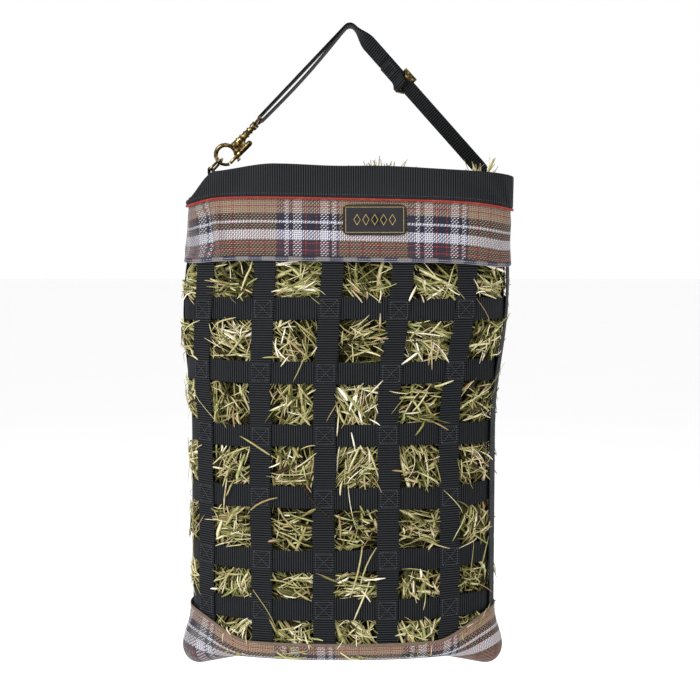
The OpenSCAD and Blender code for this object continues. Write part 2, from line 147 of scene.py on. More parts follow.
def evenAngles(z, count):
    # angles that cut the outline at height z into equal lengths, from the back round the left and the front
    w = np.linspace(-1.5 * np.pi, 0.5 * np.pi, 4001)
    p = contour(w, z + 0 * w)[0]
    arc = arcLengths(p)
    return np.interp(np.linspace(0, arc[-1], count + 1)[:count], arc, w)


def rimWave(w):
    # the rim falls evenly to the right, and by the sixth power of x at its corners
    x = contour(w, bag["rimHeight"] + 0 * w)[0][..., 0] / 190
    return -bag["rimTilt"] * x - bag["cornerDroop"] * np.abs(x) ** 6


def hoopHeight(i):
    # even steps down, with the last hoop a little higher
    lift = bag["lastHoopLift"] if i == bag["hoopCount"] else 0
    return bag["hoopTop"] - (i - 1) * bag["hoopPitch"] + lift


def uprightShare(k, z):
    # how far round the bag upright k is: an even pitch, a turn of the whole grid, and a slant down to the waist
    slant = bag["gridSlant"] * smooth(bag["hoopTop"] + 30, waist + 20, z)
    return ((k - 3.5) * loopLength / bag["uprightCount"] + bag["gridTurn"] - slant) / loopLength


# ---------- mesh helpers ----------
def gridFaces(rows, cols, closeRows=False, closeCols=False):
    # quads of a grid of rows by cols points; the second array counts the closing row and column as new ones,
    # for UVs
    i, j = np.meshgrid(np.arange(rows - (not closeRows)), np.arange(cols - (not closeCols)), indexing="ij")
    i, j = i.ravel(), j.ravel()
    wide = cols + closeCols
    corners = [(i, j), (i + 1, j), (i + 1, j + 1), (i, j + 1)]
    faces = np.stack([(a % rows) * cols + b % cols for a, b in corners], 1)
    return faces, np.stack([a * wide + b for a, b in corners], 1)


def volumeOf(points, faces):
    # a third of each quad's two triangles times their distance from the origin: negative if inside out
    a, b, c, d = (points[faces[:, k]] for k in range(4))
    cut = np.einsum("ij,ij->i", np.cross(a, b), c) + np.einsum("ij,ij->i", np.cross(a, c), d)
    return cut.sum() / 6


def makePiece(name, points, faces, material, body=None, uv=None, caps=(), tone=None, slot=None, replaces=()):
    # points in millimetres, faces as quads, caps as longer rings of indices; uv has a pair for each face corner
    if volumeOf(points, faces) < 0:
        faces = faces[:, ::-1]
        uv = None if uv is None else uv[:, ::-1]
        caps = [c[::-1] for c in caps]
    mesh = bpy.data.meshes.new(name)
    mesh.from_pydata(points * 0.001, [], faces.tolist() + [list(map(int, c)) for c in caps])
    if uv is not None:
        layer = mesh.uv_layers.new(name="cloth")
        flatUv = np.zeros((len(mesh.loops), 2), np.float32)
        flatUv[:faces.size] = uv.reshape(-1, 2)
        layer.data.foreach_set("uv", flatUv.ravel())
    if tone is not None:
        mesh.attributes.new("tone", "FLOAT", "POINT").data.foreach_set("value", tone.astype(np.float32))
    mesh.polygons.foreach_set("use_smooth", np.full(len(mesh.polygons), True))
    mesh.materials.append(material)
    mesh.update()
    piece = bpy.data.objects.new(name, mesh)
    scene.collection.objects.link(piece)
    if body:
        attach(piece, body)
    if replaces:
        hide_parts(*replaces)
    return piece


def sweptPiece(name, rings, material, uv, closed=False, **rest):
    # rings is stations by section points; each section is a closed loop, and open ends get a cap
    n, m = rings.shape[:2]
    faces, corners = gridFaces(n, m, closeRows=closed, closeCols=True)
    caps = [] if closed else [np.arange(m)[::-1], np.arange(m) + (n - 1) * m]
    return makePiece(name, rings.reshape(-1, 3), faces, material, uv=uv.reshape(-1, 2)[corners], caps=caps, **rest)


def instances(name, template, quads, caps, centres, axes, material, **rest):
    # many copies of one small shape: point = centre + x a1 + y a2 + z a3, with the axes as rows
    points = centres[:, None, :] + np.einsum("pk,nkd->npd", template, axes)
    count, size = points.shape[:2]
    shift = np.arange(count) * size
    faces = (quads[None] + shift[:, None, None]).reshape(-1, 4)
    ends = [c + s for s in shift for c in caps]
    return makePiece(name, points.reshape(-1, 3), faces, material, caps=ends, **rest)


def unit(v):
    # v / |v|
    return v / (np.linalg.norm(v, axis=-1, keepdims=True) + 1e-12)


# ---------- materials ----------
class Link:
    # a shader socket with arithmetic: each operator adds its Math node
    def __init__(self, shade, socket):
        self.shade, self.socket = shade, socket

    def calc(self, operation, a, b):
        # one math node over two values, each of them a link or a number
        return self.shade.node("ShaderNodeMath", {"operation": operation}, {0: a, 1: b})

    def __add__(self, b): return self.calc("ADD", self, b)
    def __radd__(self, b): return self.calc("ADD", b, self)
    def __sub__(self, b): return self.calc("SUBTRACT", self, b)
    def __rsub__(self, b): return self.calc("SUBTRACT", b, self)
    def __mul__(self, b): return self.calc("MULTIPLY", self, b)
    def __rmul__(self, b): return self.calc("MULTIPLY", b, self)
    def __truediv__(self, b): return self.calc("DIVIDE", self, b)
    def __mod__(self, b): return self.calc("FLOORED_MODULO", self, b)


class Shade:
    def __init__(self, name):
        self.material = bpy.data.materials.new(name)
        self.material.use_nodes = True
        self.tree = self.material.node_tree
        self.tree.nodes.clear()

    def node(self, kind, settings=None, sockets=None, output=0):
        # settings go in first; a socket takes a constant or the link of another node
        made = self.tree.nodes.new(kind)
        for key, value in (settings or {}).items():
            if key == "stops":
                ramp = made.color_ramp
                while len(ramp.elements) < len(value):
                    ramp.elements.new(1.0)
                for element, (position, _) in zip(ramp.elements, value):
                    element.position = position
                for element, (_, colour) in zip(ramp.elements, value):
                    element.color = (*colour, 1.0)
            elif key == "interpolation":
                made.color_ramp.interpolation = value
            else:
                setattr(made, key, value)
        for key, value in (sockets or {}).items():
            if isinstance(value, Link):
                self.tree.links.new(value.socket, made.inputs[key])
            else:
                made.inputs[key].default_value = value
        return Link(self, made.outputs[output])

    def cosine(self, value, pitch):
        # half of 1 + cos(2 pi value / pitch)
        angle = value * (2 * math.pi / pitch)
        return self.node("ShaderNodeMath", {"operation": "COSINE"}, {0: angle}) * 0.5 + 0.5

    def noise(self, scale, detail=2.0, vector=None):
        # 0 to 1, by default over the object's own coordinates in metres
        sockets = {"Vector": vector or self.place(), "Scale": scale, "Detail": detail, "Roughness": 0.55}
        return self.node("ShaderNodeTexNoise", {}, sockets)

    def place(self):
        # object coordinates
        return self.node("ShaderNodeTexCoord", output=3)

    def cloth(self):
        # the two values of the piece's own UV map, in millimetres: across and along, or round and down
        uv = self.node("ShaderNodeUVMap", {"uv_map": "cloth"})
        return [self.node("ShaderNodeSeparateXYZ", {}, {0: uv}, output) for output in (0, 1)]

    def span(self, value, low, high):
        # 0 at low and 1 at high, kept between
        return self.node("ShaderNodeMapRange", {"clamp": True}, {0: value, 1: low, 2: high})

    def blend(self, share, a, b):
        # colour a where share is 0 and b where it is 1
        a, b = (c if isinstance(c, Link) else (*c, 1.0) for c in (a, b))
        return self.node("ShaderNodeMix", {"data_type": "RGBA"}, {0: share, 6: a, 7: b}, 2)

    def ramp(self, value, stops, interpolation="LINEAR"):
        # stops are (position, colour)
        return self.node("ShaderNodeValToRGB", {"interpolation": interpolation, "stops": stops}, {0: value})

    def finish(self, colour, roughness, height=None, depth=0.0002, strength=1.0, metal=0.0, specular=0.2):
        # the surface; height raises it by up to depth, in metres
        sockets = {"Base Color": colour, "Roughness": roughness, "Metallic": metal, "Specular IOR Level": specular}
        if height is not None:
            bump = {"Strength": strength, "Distance": depth, "Height": height}
            sockets["Normal"] = self.node("ShaderNodeBump", {}, bump)
        surface = self.node("ShaderNodeBsdfPrincipled", {}, sockets)
        out = self.tree.nodes.new("ShaderNodeOutputMaterial")
        self.tree.links.new(surface.socket, out.inputs[0])
        return self.material


# the webbing's near-black, darkened as painted shade in the grooves; the lighter colour of the painted highlight on the
# rib crests; the grey of its dust and painted sheen
webLook = dict(dark=(0.0006, 0.0007, 0.0008), light=(0.034, 0.037, 0.043), dustAndSheen=(0.04, 0.04, 0.04), yarnPitch=0.85)


def makeWebbing(name, pitch, standing=False, rough=0.5, dustSheenScale=26, dustSheenFrom=0.5, dustSheenShare=0.45,
                depth=0.0003, strength=0.8, specular=0.08):
    # ribs across the strap, crossed by fine yarns; the rib crests are lighter, a painted highlight, and the grooves
    # near black, painted shade, with a little dust and painted sheen on the crests; standing ribs run down
    s = Shade(name)
    across, along = s.cloth()[::-1] if standing else s.cloth()
    rib = s.cosine(along, pitch)
    yarn = s.cosine(across, webLook["yarnPitch"])
    fine = s.noise(900, 2)
    # dust and painted sheen: lighter grey patches, laid only where the crests carry their painted highlight
    dustAndSheen = s.span(s.noise(dustSheenScale, 4), dustSheenFrom, dustSheenFrom + 0.3)
    # painted highlight: the colour is lighter on the rib crests, and painted shade leaves the grooves near black
    crestHighlight = s.span(rib * (0.75 + 0.25 * yarn) + 0.25 * fine, 0.42, 1.2)
    colour = s.blend(crestHighlight, webLook["dark"], webLook["light"])
    colour = s.blend(dustAndSheen * crestHighlight * dustSheenShare, colour, webLook["dustAndSheen"])
    height = rib * 0.6 + rib * yarn * 0.3 + fine * 0.25
    return s.finish(colour, rough + 0.2 * fine, height, depth=depth, strength=strength, specular=specular)


webbing = makeWebbing("webbing", web["ribPitch"])

plaidColours = dict(
    tan=(0.34, 0.24, 0.165), brown=(0.045, 0.026, 0.022), black=(0.012, 0.011, 0.014),
    white=(0.60, 0.59, 0.66), navy=(0.016, 0.022, 0.085), red=(0.36, 0.03, 0.025),
)
plaid = dict(period=149.0, shift=83.6, yarnPitch=2.1)
# the upright stripes repeat round the bag; a pale navy group, then tan with thin red lines
uprightStripes = [
    (0.0, "navy"), (9.0, "white"), (13.6, "navy"), (19.2, "white"), (28.6, "navy"), (32.4, "red"), (34.2, "navy"),
    (44.4, "red"), (46.2, "navy"), (49.6, "white"), (59.0, "navy"), (63.2, "white"), (67.8, "navy"), (70.5, "tan"),
    (82.0, "red"), (83.6, "tan"), (97.0, "red"), (98.6, "tan"), (116.0, "red"), (117.6, "tan"), (134.5, "red"),
    (136.1, "tan"),
]
# the level stripes of the collar, down from the piping, and of the bottom panel, down from its edge
collarStripes = [
    (0.0, "tan"), (7.0, "red"), (8.4, "tan"), (15.5, "black"), (23.8, "white"), (26.8, "black"), (34.4, "white"),
    (45.6, "brown"), (49.0, "red"), (50.3, "brown"), (56.6, "red"), (57.9, "brown"), (64.8, "red"), (66.0, "navy"),
    (70.5, "white"), (72.0, "navy"),
]
panelStripes = [
    (0.0, "tan"), (6.0, "red"), (7.2, "tan"), (13.0, "brown"), (16.0, "black"), (20.0, "white"), (23.0, "black"),
    (29.0, "white"), (40.0, "brown"), (47.0, "red"), (48.4, "brown"), (56.0, "red"), (57.4, "brown"),
    (66.0, "navy"), (78.0, "tan"),
]


def stripeStops(stripes, length):
    # each stripe's start as a share of the length, with its colour
    return [(start / length, plaidColours[name]) for start, name in stripes]


def makePlaid(name, levelStripes, levelLength):
    # warp and weft each carry their stripes; a yarn on top shows its own colour, with painted shade darkening the gaps
    # between the yarns
    s = Shade(name)
    u, v = s.cloth()
    wander = s.noise(60, 3) - 0.5
    uu = u + wander * 0.9
    vv = v + wander * 0.6
    period, pitch = plaid["period"], plaid["yarnPitch"]
    warp = s.ramp((uu + plaid["shift"]) % period / period, stripeStops(uprightStripes, period), "CONSTANT")
    weft = s.ramp(s.span(vv, 0.0, levelLength), stripeStops(levelStripes, levelLength), "CONSTANT")
    cellU, cellV = s.cosine(uu, pitch), s.cosine(vv, pitch)
    # twill: sloping lines of warp over weft, each broken by the yarn next to it
    diagonal = s.cosine(uu + vv, pitch * 2)
    over = s.span(diagonal + (cellU - cellV) * 0.45, 0.12, 0.36)
    colour = s.blend(over, warp, weft)
    # painted shade: the gaps between the yarns are blended towards near black
    gapShade = s.span((1 - cellU) * (1 - cellV) + (1 - diagonal) * 0.12, 0.12, 0.5)
    colour = s.blend(gapShade * 0.85, colour, (0.012, 0.011, 0.012))
    # faded and dusty towards the left end, and a little everywhere
    x = s.node("ShaderNodeSeparateXYZ", {}, {0: s.place()}, 0)
    worn = s.span(x, -0.135, -0.19)
    soil = s.span(s.noise(16, 4), 0.45, 0.8)
    grey = s.blend(s.noise(420, 3), (0.03, 0.03, 0.03), (0.36, 0.35, 0.33))
    colour = s.blend(worn * 0.6 * s.span(s.noise(45, 3), 0.3, 0.6), colour, grey)
    colour = s.blend(soil * 0.3, colour, (0.12, 0.1, 0.08))
    height = over * 0.4 + cellU * 0.5 + cellV * 0.5 - gapShade * 0.8 + s.noise(1200, 2) * 0.2
    return s.finish(colour, 0.42 + 0.2 * s.noise(300), height, depth=0.00045, strength=0.9)


collarPlaid = makePlaid("plaid mesh", collarStripes, 80.0)
panelPlaid = makePlaid("plaid mesh of the bottom", panelStripes, 90.0)


def makePiping():
    # fabric wrapped round a cord: fine slanting threads
    s = Shade("red piping")
    around, along = s.cloth()
    thread = s.cosine(along + around * 0.5, 1.1)
    worn = s.span(s.noise(120, 3), 0.5, 0.75)
    colour = s.blend(thread, (0.12, 0.01, 0.008), (0.42, 0.05, 0.035))
    colour = s.blend(worn * 0.3, colour, (0.4, 0.13, 0.1))
    return s.finish(colour, 0.6 + 0.1 * worn, thread + s.noise(900) * 0.4, depth=0.0002, strength=0.8)


def makeThread(name, dark, light):
    # a spun thread: two shades in fine noise
    s = Shade(name)
    shade = s.noise(700, 2)
    return s.finish(s.blend(shade, dark, light), 0.55 + 0.2 * shade, s.noise(1500), depth=0.0001, strength=0.6)


def makeBrass():
    # antique plating: brown in the hollows and worn bright in patches, with fine casting grain
    s = Shade("antique brass")
    patch = s.span(s.noise(230, 4), 0.38, 0.66)
    grain = s.noise(1600, 3)
    stops = [(0.15, (0.022, 0.015, 0.007)), (0.5, (0.085, 0.058, 0.022)), (0.85, (0.42, 0.31, 0.13))]
    colour = s.ramp(patch * 0.75 + grain * 0.25, stops)
    return s.finish(colour, 0.36 - 0.14 * patch, grain, depth=0.0001, strength=0.3, metal=1.0)


def makeSteel():
    # bright wire, shaded once for each turn of the spring
    s = Shade("spring steel")
    turn = s.cosine(s.node("ShaderNodeSeparateXYZ", {}, {0: s.place()}, 2), 0.0011)
    colour = s.blend(turn, (0.2, 0.2, 0.2), (0.6, 0.6, 0.62))
    return s.finish(colour, 0.3 + 0.15 * turn, turn, depth=0.0003, metal=1.0)


def makeLabel():
    # satin-woven patch: fine warp lines on near black
    s = Shade("woven label")
    line = s.cosine(s.cloth()[0], 0.45)
    fine = s.noise(800, 2)
    colour = s.blend(line * fine, (0.006, 0.006, 0.008), (0.032, 0.032, 0.04))
    return s.finish(colour, 0.42 + 0.2 * fine, line + fine, depth=0.0001)


# dark brown through green and straw to almost white
hayStops = [
    (0.0, (0.012, 0.009, 0.004)), (0.12, (0.035, 0.025, 0.009)), (0.24, (0.08, 0.085, 0.022)), (0.36, (0.28, 0.26, 0.09)),
    (0.48, (0.46, 0.41, 0.19)), (0.6, (0.72, 0.66, 0.38)), (0.7, (0.25, 0.30, 0.09)), (0.78, (0.38, 0.24, 0.13)),
    (0.88, (0.66, 0.58, 0.36)), (1.0, (1.0, 0.96, 0.78)),
]


def makeHay():
    # each stalk has its own tone; it is streaked along its length and darker in spots
    s = Shade("hay stalks")
    tone = s.node("ShaderNodeAttribute", {"attribute_name": "tone"}, output=2)
    spots = s.noise(160, 3)
    fine = s.noise(1400, 2)
    colour = s.ramp(tone + (spots - 0.5) * 0.22, hayStops)
    colour = s.blend(s.span(fine, 0.45, 0.75) * 0.35, colour, (0.12, 0.09, 0.03))
    return s.finish(colour, 0.55 + 0.25 * fine, fine, depth=0.00015, strength=0.6, specular=0.12)


def makeHayCore():
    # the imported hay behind: short crossing streaks over deep shade
    s = Shade("packed hay")
    xyz = s.place()
    turns = [(0.0, 0.7, 0.3), (0.3, -0.9, 0.0), (0.1, 1.6, 0.2)]
    streaks = [s.noise(1.0, 3, s.node("ShaderNodeMapping", {}, {0: xyz, "Rotation": t, "Scale": (700, 700, 60)}))
               for t in turns]
    mixed = (streaks[0] + streaks[1] + streaks[2]) / 3
    stops = [(0.0, (0.003, 0.0025, 0.001)), (0.55, (0.012, 0.01, 0.004)), (0.85, (0.06, 0.05, 0.018)),
             (1.0, (0.16, 0.13, 0.05))]
    colour = s.ramp(s.span(mixed, 0.36, 0.62), stops)
    return s.finish(colour, 0.8 + 0.1 * mixed, mixed, depth=0.002, strength=1.0, specular=0.02)


piping = makePiping()
blackThread = makeThread("grey thread", (0.035, 0.037, 0.043), (0.11, 0.115, 0.13))
paleThread = makeThread("pale thread", (0.3, 0.3, 0.31), (0.62, 0.61, 0.6))
goldThread = makeThread("gold thread", (0.36, 0.24, 0.07), (0.75, 0.55, 0.2))
brass, steel, labelCloth = makeBrass(), makeSteel(), makeLabel()
hayMaterial, coreMaterial = makeHay(), makeHayCore()
print("materials made")

# the cast fittings keep their CAD shapes
for node in ["slider_frame", "swivel_eye", "swivel_rivet", "snap_body", "snap_bolt", "thumb_knob", "d_ring",
             "bolt_spring"]:
    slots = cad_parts[node].data.materials
    slots.clear()
    slots.append(steel if node == "bolt_spring" else brass)


# ---------- webbing ----------
def ribbonRings(middle, acrossDir, throughDir, along, thick=None, width=None, pitch=None):
    # point = middle + across * a + through * side * (t/2 - rib), where the rib dips between crests;
    # a and side go round a flat strip with rounded sides
    share = np.array([-1, -0.985, -0.9, -0.55, -0.18, 0.18, 0.55, 0.9, 0.985])
    side = np.array([0, 0.7, 1, 1, 1, 1, 1, 1, 0.7])
    across = np.concatenate([share, -share]) * (width or web["width"]) / 2
    side = np.concatenate([side, -side])
    thick, pitch = thick or web["thick"], pitch or web["ribPitch"]
    dip = web["ribDepth"] * (0.5 - 0.5 * np.cos(2 * np.pi * along / pitch))
    depth = side[None, :] * (thick / 2 - dip[:, None] * np.abs(side)[None, :])
    rings = (middle[:, None, :] + across[None, :, None] * acrossDir[:, None, :]
             + depth[..., None] * throughDir[:, None, :])
    uv = np.stack(np.broadcast_arrays(np.append(across, across[0])[None, :], along[:, None]), -1)
    return rings, uv


def ribbonPiece(name, path, acrossDir, throughDir, length, closed=False, **rest):
    # path, acrossDir and throughDir are functions of the distance along; a closed strap has a whole number of ribs
    if closed:
        ribs = round(length / web["ribPitch"])
        along = np.arange(ribs * web["samplesPerRib"] + 1) / web["samplesPerRib"] * length / ribs
        pitch = length / ribs
    else:
        pitch = web["ribPitch"]
        along = np.linspace(0, length, max(4, int(round(length / pitch * web["samplesPerRib"]))) + 1)
    rings, uv = ribbonRings(path(along), acrossDir(along), throughDir(along), along, pitch=pitch)
    if closed:
        rings = rings[:-1]
    return sweptPiece(name, rings, webbing, uv, closed=closed, slot="webbing", **rest)


def hoopLevel(i, u):
    # a level hoop that sags and lifts a little on its way round
    return hoopHeight(i) + 1.0 * np.sin(2 * np.pi * (3 * u + 0.37 * i)) + 0.6 * np.sin(2 * np.pi * (7 * u + 0.21 * i))


def uprightAt(k, z):
    # an upright wanders a little sideways on its way down
    return uprightShare(k, z) + (0.9 * np.sin(z / 47 + 1.7 * k) + 0.5 * np.sin(z / 19 + k)) / loopLength


def upright(s):
    # straight up, for each distance s
    return np.tile([0.0, 0.0, 1.0], (len(s), 1))


def makeHoop(i):
    # a strap laid round the outline at its own height, starting at the back
    fine = np.linspace(-1.5 * np.pi, 0.5 * np.pi, 3001)
    arcs = arcLengths(contour(fine, hoopHeight(i) + 0 * fine)[0])

    def middle(s):
        # on the outline, half a strap's thickness in, at the hoop's own wandering level
        w = np.interp(s, arcs, fine)
        p = contour(w, hoopHeight(i) + 0 * w, -0.75)[0]
        p[:, 2] = hoopLevel(i, (w / (2 * np.pi) + 0.25) % 1)
        return p

    def outward(s):
        # the outline's normal
        w = np.interp(s, arcs, fine)
        return contour(w, hoopHeight(i) + 0 * w)[1]

    ribbonPiece(f"hoop.{i}", middle, upright, outward, arcs[-1], closed=True, body="bag", replaces=[f"hoop_{i}"])


for i in range(1, bag["hoopCount"] + 1):
    makeHoop(i)
print("hoops made")


def panelTop(w):
    # the panel's upper edge, which rises towards both sides
    low = bag["bottomHeight"]
    share = np.abs(contour(w, low + 0 * w)[0][..., 0] - centreX(low)) / (bag["bodyWidth"] / 2)
    return bag["panelHeight"] + bag["panelRise"] * smooth(bag["riseFrom"], 1, share)


def shareAngle(u, z):
    # the outline's angle at a share u of the way round
    t = np.interp((u - np.floor(u)) * loopLength, stepArc, stepAngles)
    return stepOutline(t, z)


def makeUpright(k):
    # a strap from under the collar's hem down to behind the bottom panel, tucked in where it passes the hem
    hem, panel = bag["hemHeight"], bag["panelHeight"]
    hemAngle = shareAngle(np.array([uprightShare(k, hem)]), hem)
    top = float(hem + 0.6 * rimWave(hemAngle)[0]) - 5 + 7
    low = float(panelTop(shareAngle(np.array([uprightShare(k, panel)]), panel))[0]) - 4

    def middle(s):
        # outside the hoops, and inside the hem once past the highest hoop
        z = top - s
        return place(uprightAt(k, z), z, 0.85 - 1.2 * smooth(bag["hoopTop"] + 14.7, hem - 9, z))[0]

    def outward(s):
        # the outline's normal
        return place(uprightAt(k, top - s), top - s)[1]

    def sideways(s):
        # level, and square to the normal
        n = outward(s)
        return np.stack([-n[:, 1], n[:, 0], n[:, 2]], 1)

    ribbonPiece(f"upright.{k}", middle, sideways, outward, top - low, body="bag", replaces=[f"upright_{k}"])


for k in range(1, bag["uprightCount"] + 1):
    makeUpright(k)
print("uprights made")


# ---------- stitches ----------
def stitchShape(length=2.1, radius=0.27):
    # a short thread with five sides and narrowed ends, along x and raised along z
    t = np.linspace(0, 2 * np.pi, 5, endpoint=False)
    rings = [(-0.5, 0.45, -0.1), (-0.2, 1.0, 0.12), (0.2, 1.0, 0.12), (0.5, 0.45, -0.1)]
    points = np.concatenate([np.stack([np.full(5, x * length), radius * r * np.cos(t), radius * r * np.sin(t) + lift], 1)
                             for x, r, lift in rings])
    quads = gridFaces(4, 5, closeCols=True)[0]
    return points, quads, [np.arange(5)[::-1], np.arange(5) + 15]


def row(a, b, pitch=2.9):
    # stitch middles and direction from a to b, in the plane
    a, b = np.array(a, float), np.array(b, float)
    count = max(2, int(round(np.linalg.norm(b - a) / pitch)))
    mid = a + (b - a) * ((np.arange(count) + 0.5) / count)[:, None]
    return mid, np.tile(unit(b - a), (count, 1))


def seamStitches(name, centres, tangents, normals, material, slot="thread", body="bag", **rest):
    # one stitch at each centre, along its tangent, lying on the surface that the normal belongs to
    points, quads, caps = stitchShape(**rest)
    tangents = unit(tangents)
    side = unit(np.cross(normals, tangents))
    axes = np.stack([tangents, side, np.cross(tangents, side)], 1)
    return instances(name, points, quads, caps, centres, axes, material, body=body, slot=slot)


# a box of stitches with its two diagonals, once for each crossing
box = 9.6
corners = [(-box, -box), (box, -box), (-box, box), (box, box)]
cross = [row(corners[a], corners[b], pitch)
         for a, b, pitch in [(0, 1, 2.9), (2, 3, 2.9), (0, 2, 2.9), (1, 3, 2.9), (0, 3, 3.0), (2, 1, 3.0)]]
local = np.concatenate([c[0] for c in cross])
heading = np.concatenate([c[1] for c in cross])
centres, tangents, normals = [], [], []
for i in range(1, bag["hoopCount"] + 1):
    k = np.arange(1, bag["uprightCount"] + 1)
    z = hoopHeight(i)
    u = uprightAt(k, z + 0.0 * k)
    level = hoopLevel(i, u)
    base, n = place(u, level, 1.72)
    a = np.stack([-n[:, 1], n[:, 0], 0 * n[:, 0]], 1)
    up = np.array([0, 0, 1.0])
    centres.append((base[:, None] + local[None, :, :1] * a[:, None] + local[None, :, 1:] * up).reshape(-1, 3))
    tangents.append((heading[None, :, :1] * a[:, None] + heading[None, :, 1:] * up).reshape(-1, 3))
    normals.append(np.repeat(n, len(local), 0))
crossStitches = seamStitches("crossStitches", *map(np.concatenate, (centres, tangents, normals)), blackThread)
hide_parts("cross_stitches")
print("stitches made")


# ---------- mouth: band, piping, collar, hem ----------
def ringPiece(name, profile, count, material, refHeight, replaces=(), slot=None, **rest):
    # a closed band round the bag: profile(w) gives rows of (off, z) for each angle, listed round the section
    w = evenAngles(refHeight, count)
    offs, heights, downs = profile(w)
    points = contour(w[None, :] + 0 * offs, heights, offs)[0]
    steps = np.linalg.norm(np.diff(np.concatenate([points, points[:, :1]], 1), axis=1), axis=2)
    arc = np.concatenate([np.zeros((len(points), 1)), np.cumsum(steps, 1)], 1)
    front = count // 2
    arc = arc - arc[:, front:front + 1] + points[:, front, 0][:, None]
    downs = np.concatenate([downs, downs[:, :1]], 1)
    uv = np.stack([arc, downs], -1)
    uv = np.concatenate([uv, uv[:1]], 0)
    faces, corners = gridFaces(len(points), count, closeRows=True, closeCols=True)
    return makePiece(name, points.reshape(-1, 3), faces, material, body="bag", uv=uv.reshape(-1, 2)[corners],
                     slot=slot, replaces=replaces, **rest)


def cornerFall(w):
    # the left end of the rim folds over and falls, on either side of the D-ring's tab
    return 30 * smooth(-152, -192, contour(w, -190.0 + 0 * w)[0][..., 0])


def bandBelly(w, f):
    # how far the band swells out, f of the way up it
    return 0.7 * np.sin(2 * w + 1) * np.sin(np.pi * f)


def bandLow(w):
    # the band's lower edge
    return bag["rimHeight"] + rimWave(w) - bandHeight - 0.12 * cornerFall(w)


def rimTopWave(w):
    # the band's upper edge ripples more than its lower one, and a fold of the back edge stands up
    x, y = np.moveaxis(contour(w, -170.0 + 0 * w)[0][..., :2], -1, 0)
    swell = 1.5 * np.exp(-((x + 60) / 40) ** 2) * (y < 0) + 9 * np.exp(-((x - 22) / 16) ** 2) * (y > 0)
    return swell - 6.5 * smooth(-85, -150, x) + 0.9 * np.sin(8 * w) - cornerFall(w)


def bandProfile(w):
    # up the outer face, over the edge and down the inner one, with ribs on the outer face
    low = bandLow(w)
    top = bag["rimHeight"] + rimWave(w) + rimTopWave(w)
    arcRibs = 0.5 - 0.5 * np.cos(2 * np.pi * np.arange(len(w)) / 4)
    heights, offs, downs = [], [], []
    outer = [(0.0, 0.35), (0.012, 0.12), (0.04, 0.0)] + [(f, 0.0) for f in np.linspace(0.12, 0.88, 7)]
    outer += [(0.96, 0.0), (0.988, 0.12), (1.0, 0.35)]
    for f, inset in outer:
        heights.append(low + (top - low) * f)
        offs.append(bandOff + bandThick - inset - 0.26 * arcRibs * (inset < 0.3) + bandBelly(w, f))
        downs.append(top - heights[-1])
    for f, inset in outer[::-1]:
        heights.append(low + (top - low) * f)
        offs.append(bandOff + inset + bandBelly(w, f))
        downs.append(top - heights[-1])
    return np.array(offs), np.array(heights), np.array(downs)


def girth(z, off=0.0):
    # length round the bag at height z
    return float(np.linalg.norm(np.diff(contour(np.linspace(0, 2 * np.pi, 2000), z, off)[0], axis=0), axis=1).sum())


rimLength = girth(-190.0)
ribsRound = int(round(rimLength / web["ribPitch"]))


# the rim's webbing: the same painted crest highlight, with its own patches of dust and painted sheen
rimWebbing = makeWebbing("rim webbing", rimLength / ribsRound, standing=True, rough=0.45, dustSheenScale=22, dustSheenFrom=0.48,
                         dustSheenShare=0.5, depth=0.0004, strength=0.9, specular=0.12)
ringPiece("rimBand", bandProfile, ribsRound * 4, rimWebbing, -190.0, slot="webbing", replaces=["rim_band"])


def pipingProfile(w):
    # a cord just under the band
    turn, radius = np.linspace(0, 2 * np.pi, 10, endpoint=False)[:, None], 1.5
    off = meshOff + meshThick + 0.5 + radius
    return off + radius * np.cos(turn) + 0 * w, bandLow(w) - 1.6 + radius * np.sin(turn), radius * turn + 0 * w


ringPiece("rimPiping", pipingProfile, 700, piping, -206.0, slot="piping", replaces=["rim_piping"])


def drape(w, f):
    # how far the collar stands out: soft folds that fade at both seams, and one pleat at the left
    x, y = np.moveaxis(contour(w, -235.0 + 0 * w)[0][..., :2], -1, 0)
    folds = 1.1 + 0.9 * np.sin(9 * w + 2 * f) + 0.7 * np.sin(17 * w + 1.3)
    pleat = (8.0 * np.exp(-((x + 150) / 6) ** 2) + 3.5 * np.exp(-((x + 172) / 5) ** 2)) * (y < 0)
    return (np.maximum(folds, 0) * 0.7 + pleat) * smooth(0.0, 0.25, f) * (1 - 0.8 * smooth(0.8, 1.0, f))


def hemTop(w):
    # the top of the hem, which follows the rim a little
    return bag["hemHeight"] + 0.6 * rimWave(w)


def collarProfile(w):
    # down the outer face of the cloth and back up its inner face
    top, low = bandLow(w) + 8, hemTop(w)
    rows = np.concatenate([np.linspace(0, 1, 26), np.linspace(1, 0, 26)])
    offs, heights, downs = [], [], []
    for n, f in enumerate(rows):
        z = top + (low - top) * f
        free = np.clip((bandLow(w) - 4 - z) / (bandLow(w) - 4 - low), 0, 1)
        offs.append(meshOff + (meshThick if n < 26 else 0) + drape(w, free))
        heights.append(z)
        downs.append(bandLow(w) - 3 - z)
    return np.array(offs), np.array(heights), np.array(downs)


collar = ringPiece("plaidCollar", collarProfile, 900, collarPlaid, -235.0, slot="plaid_mesh", replaces=["plaid_collar"])


def hemProfile(w):
    # a flat fold with rounded edges, under the collar's last row
    high, low = hemTop(w) - 0.1, hemTop(w) - 5.1
    mid = meshOff + meshThick / 2 + drape(w, 1.0)
    out = [(0.0, 0.25), (0.25, 0.65), (0.75, 0.65), (1.0, 0.25)]
    out += [(f, -o) for f, o in out[::-1]]
    offs = np.array([mid + o for f, o in out])
    heights = np.array([high + (low - high) * f for f, o in out])
    return offs, heights, high - heights


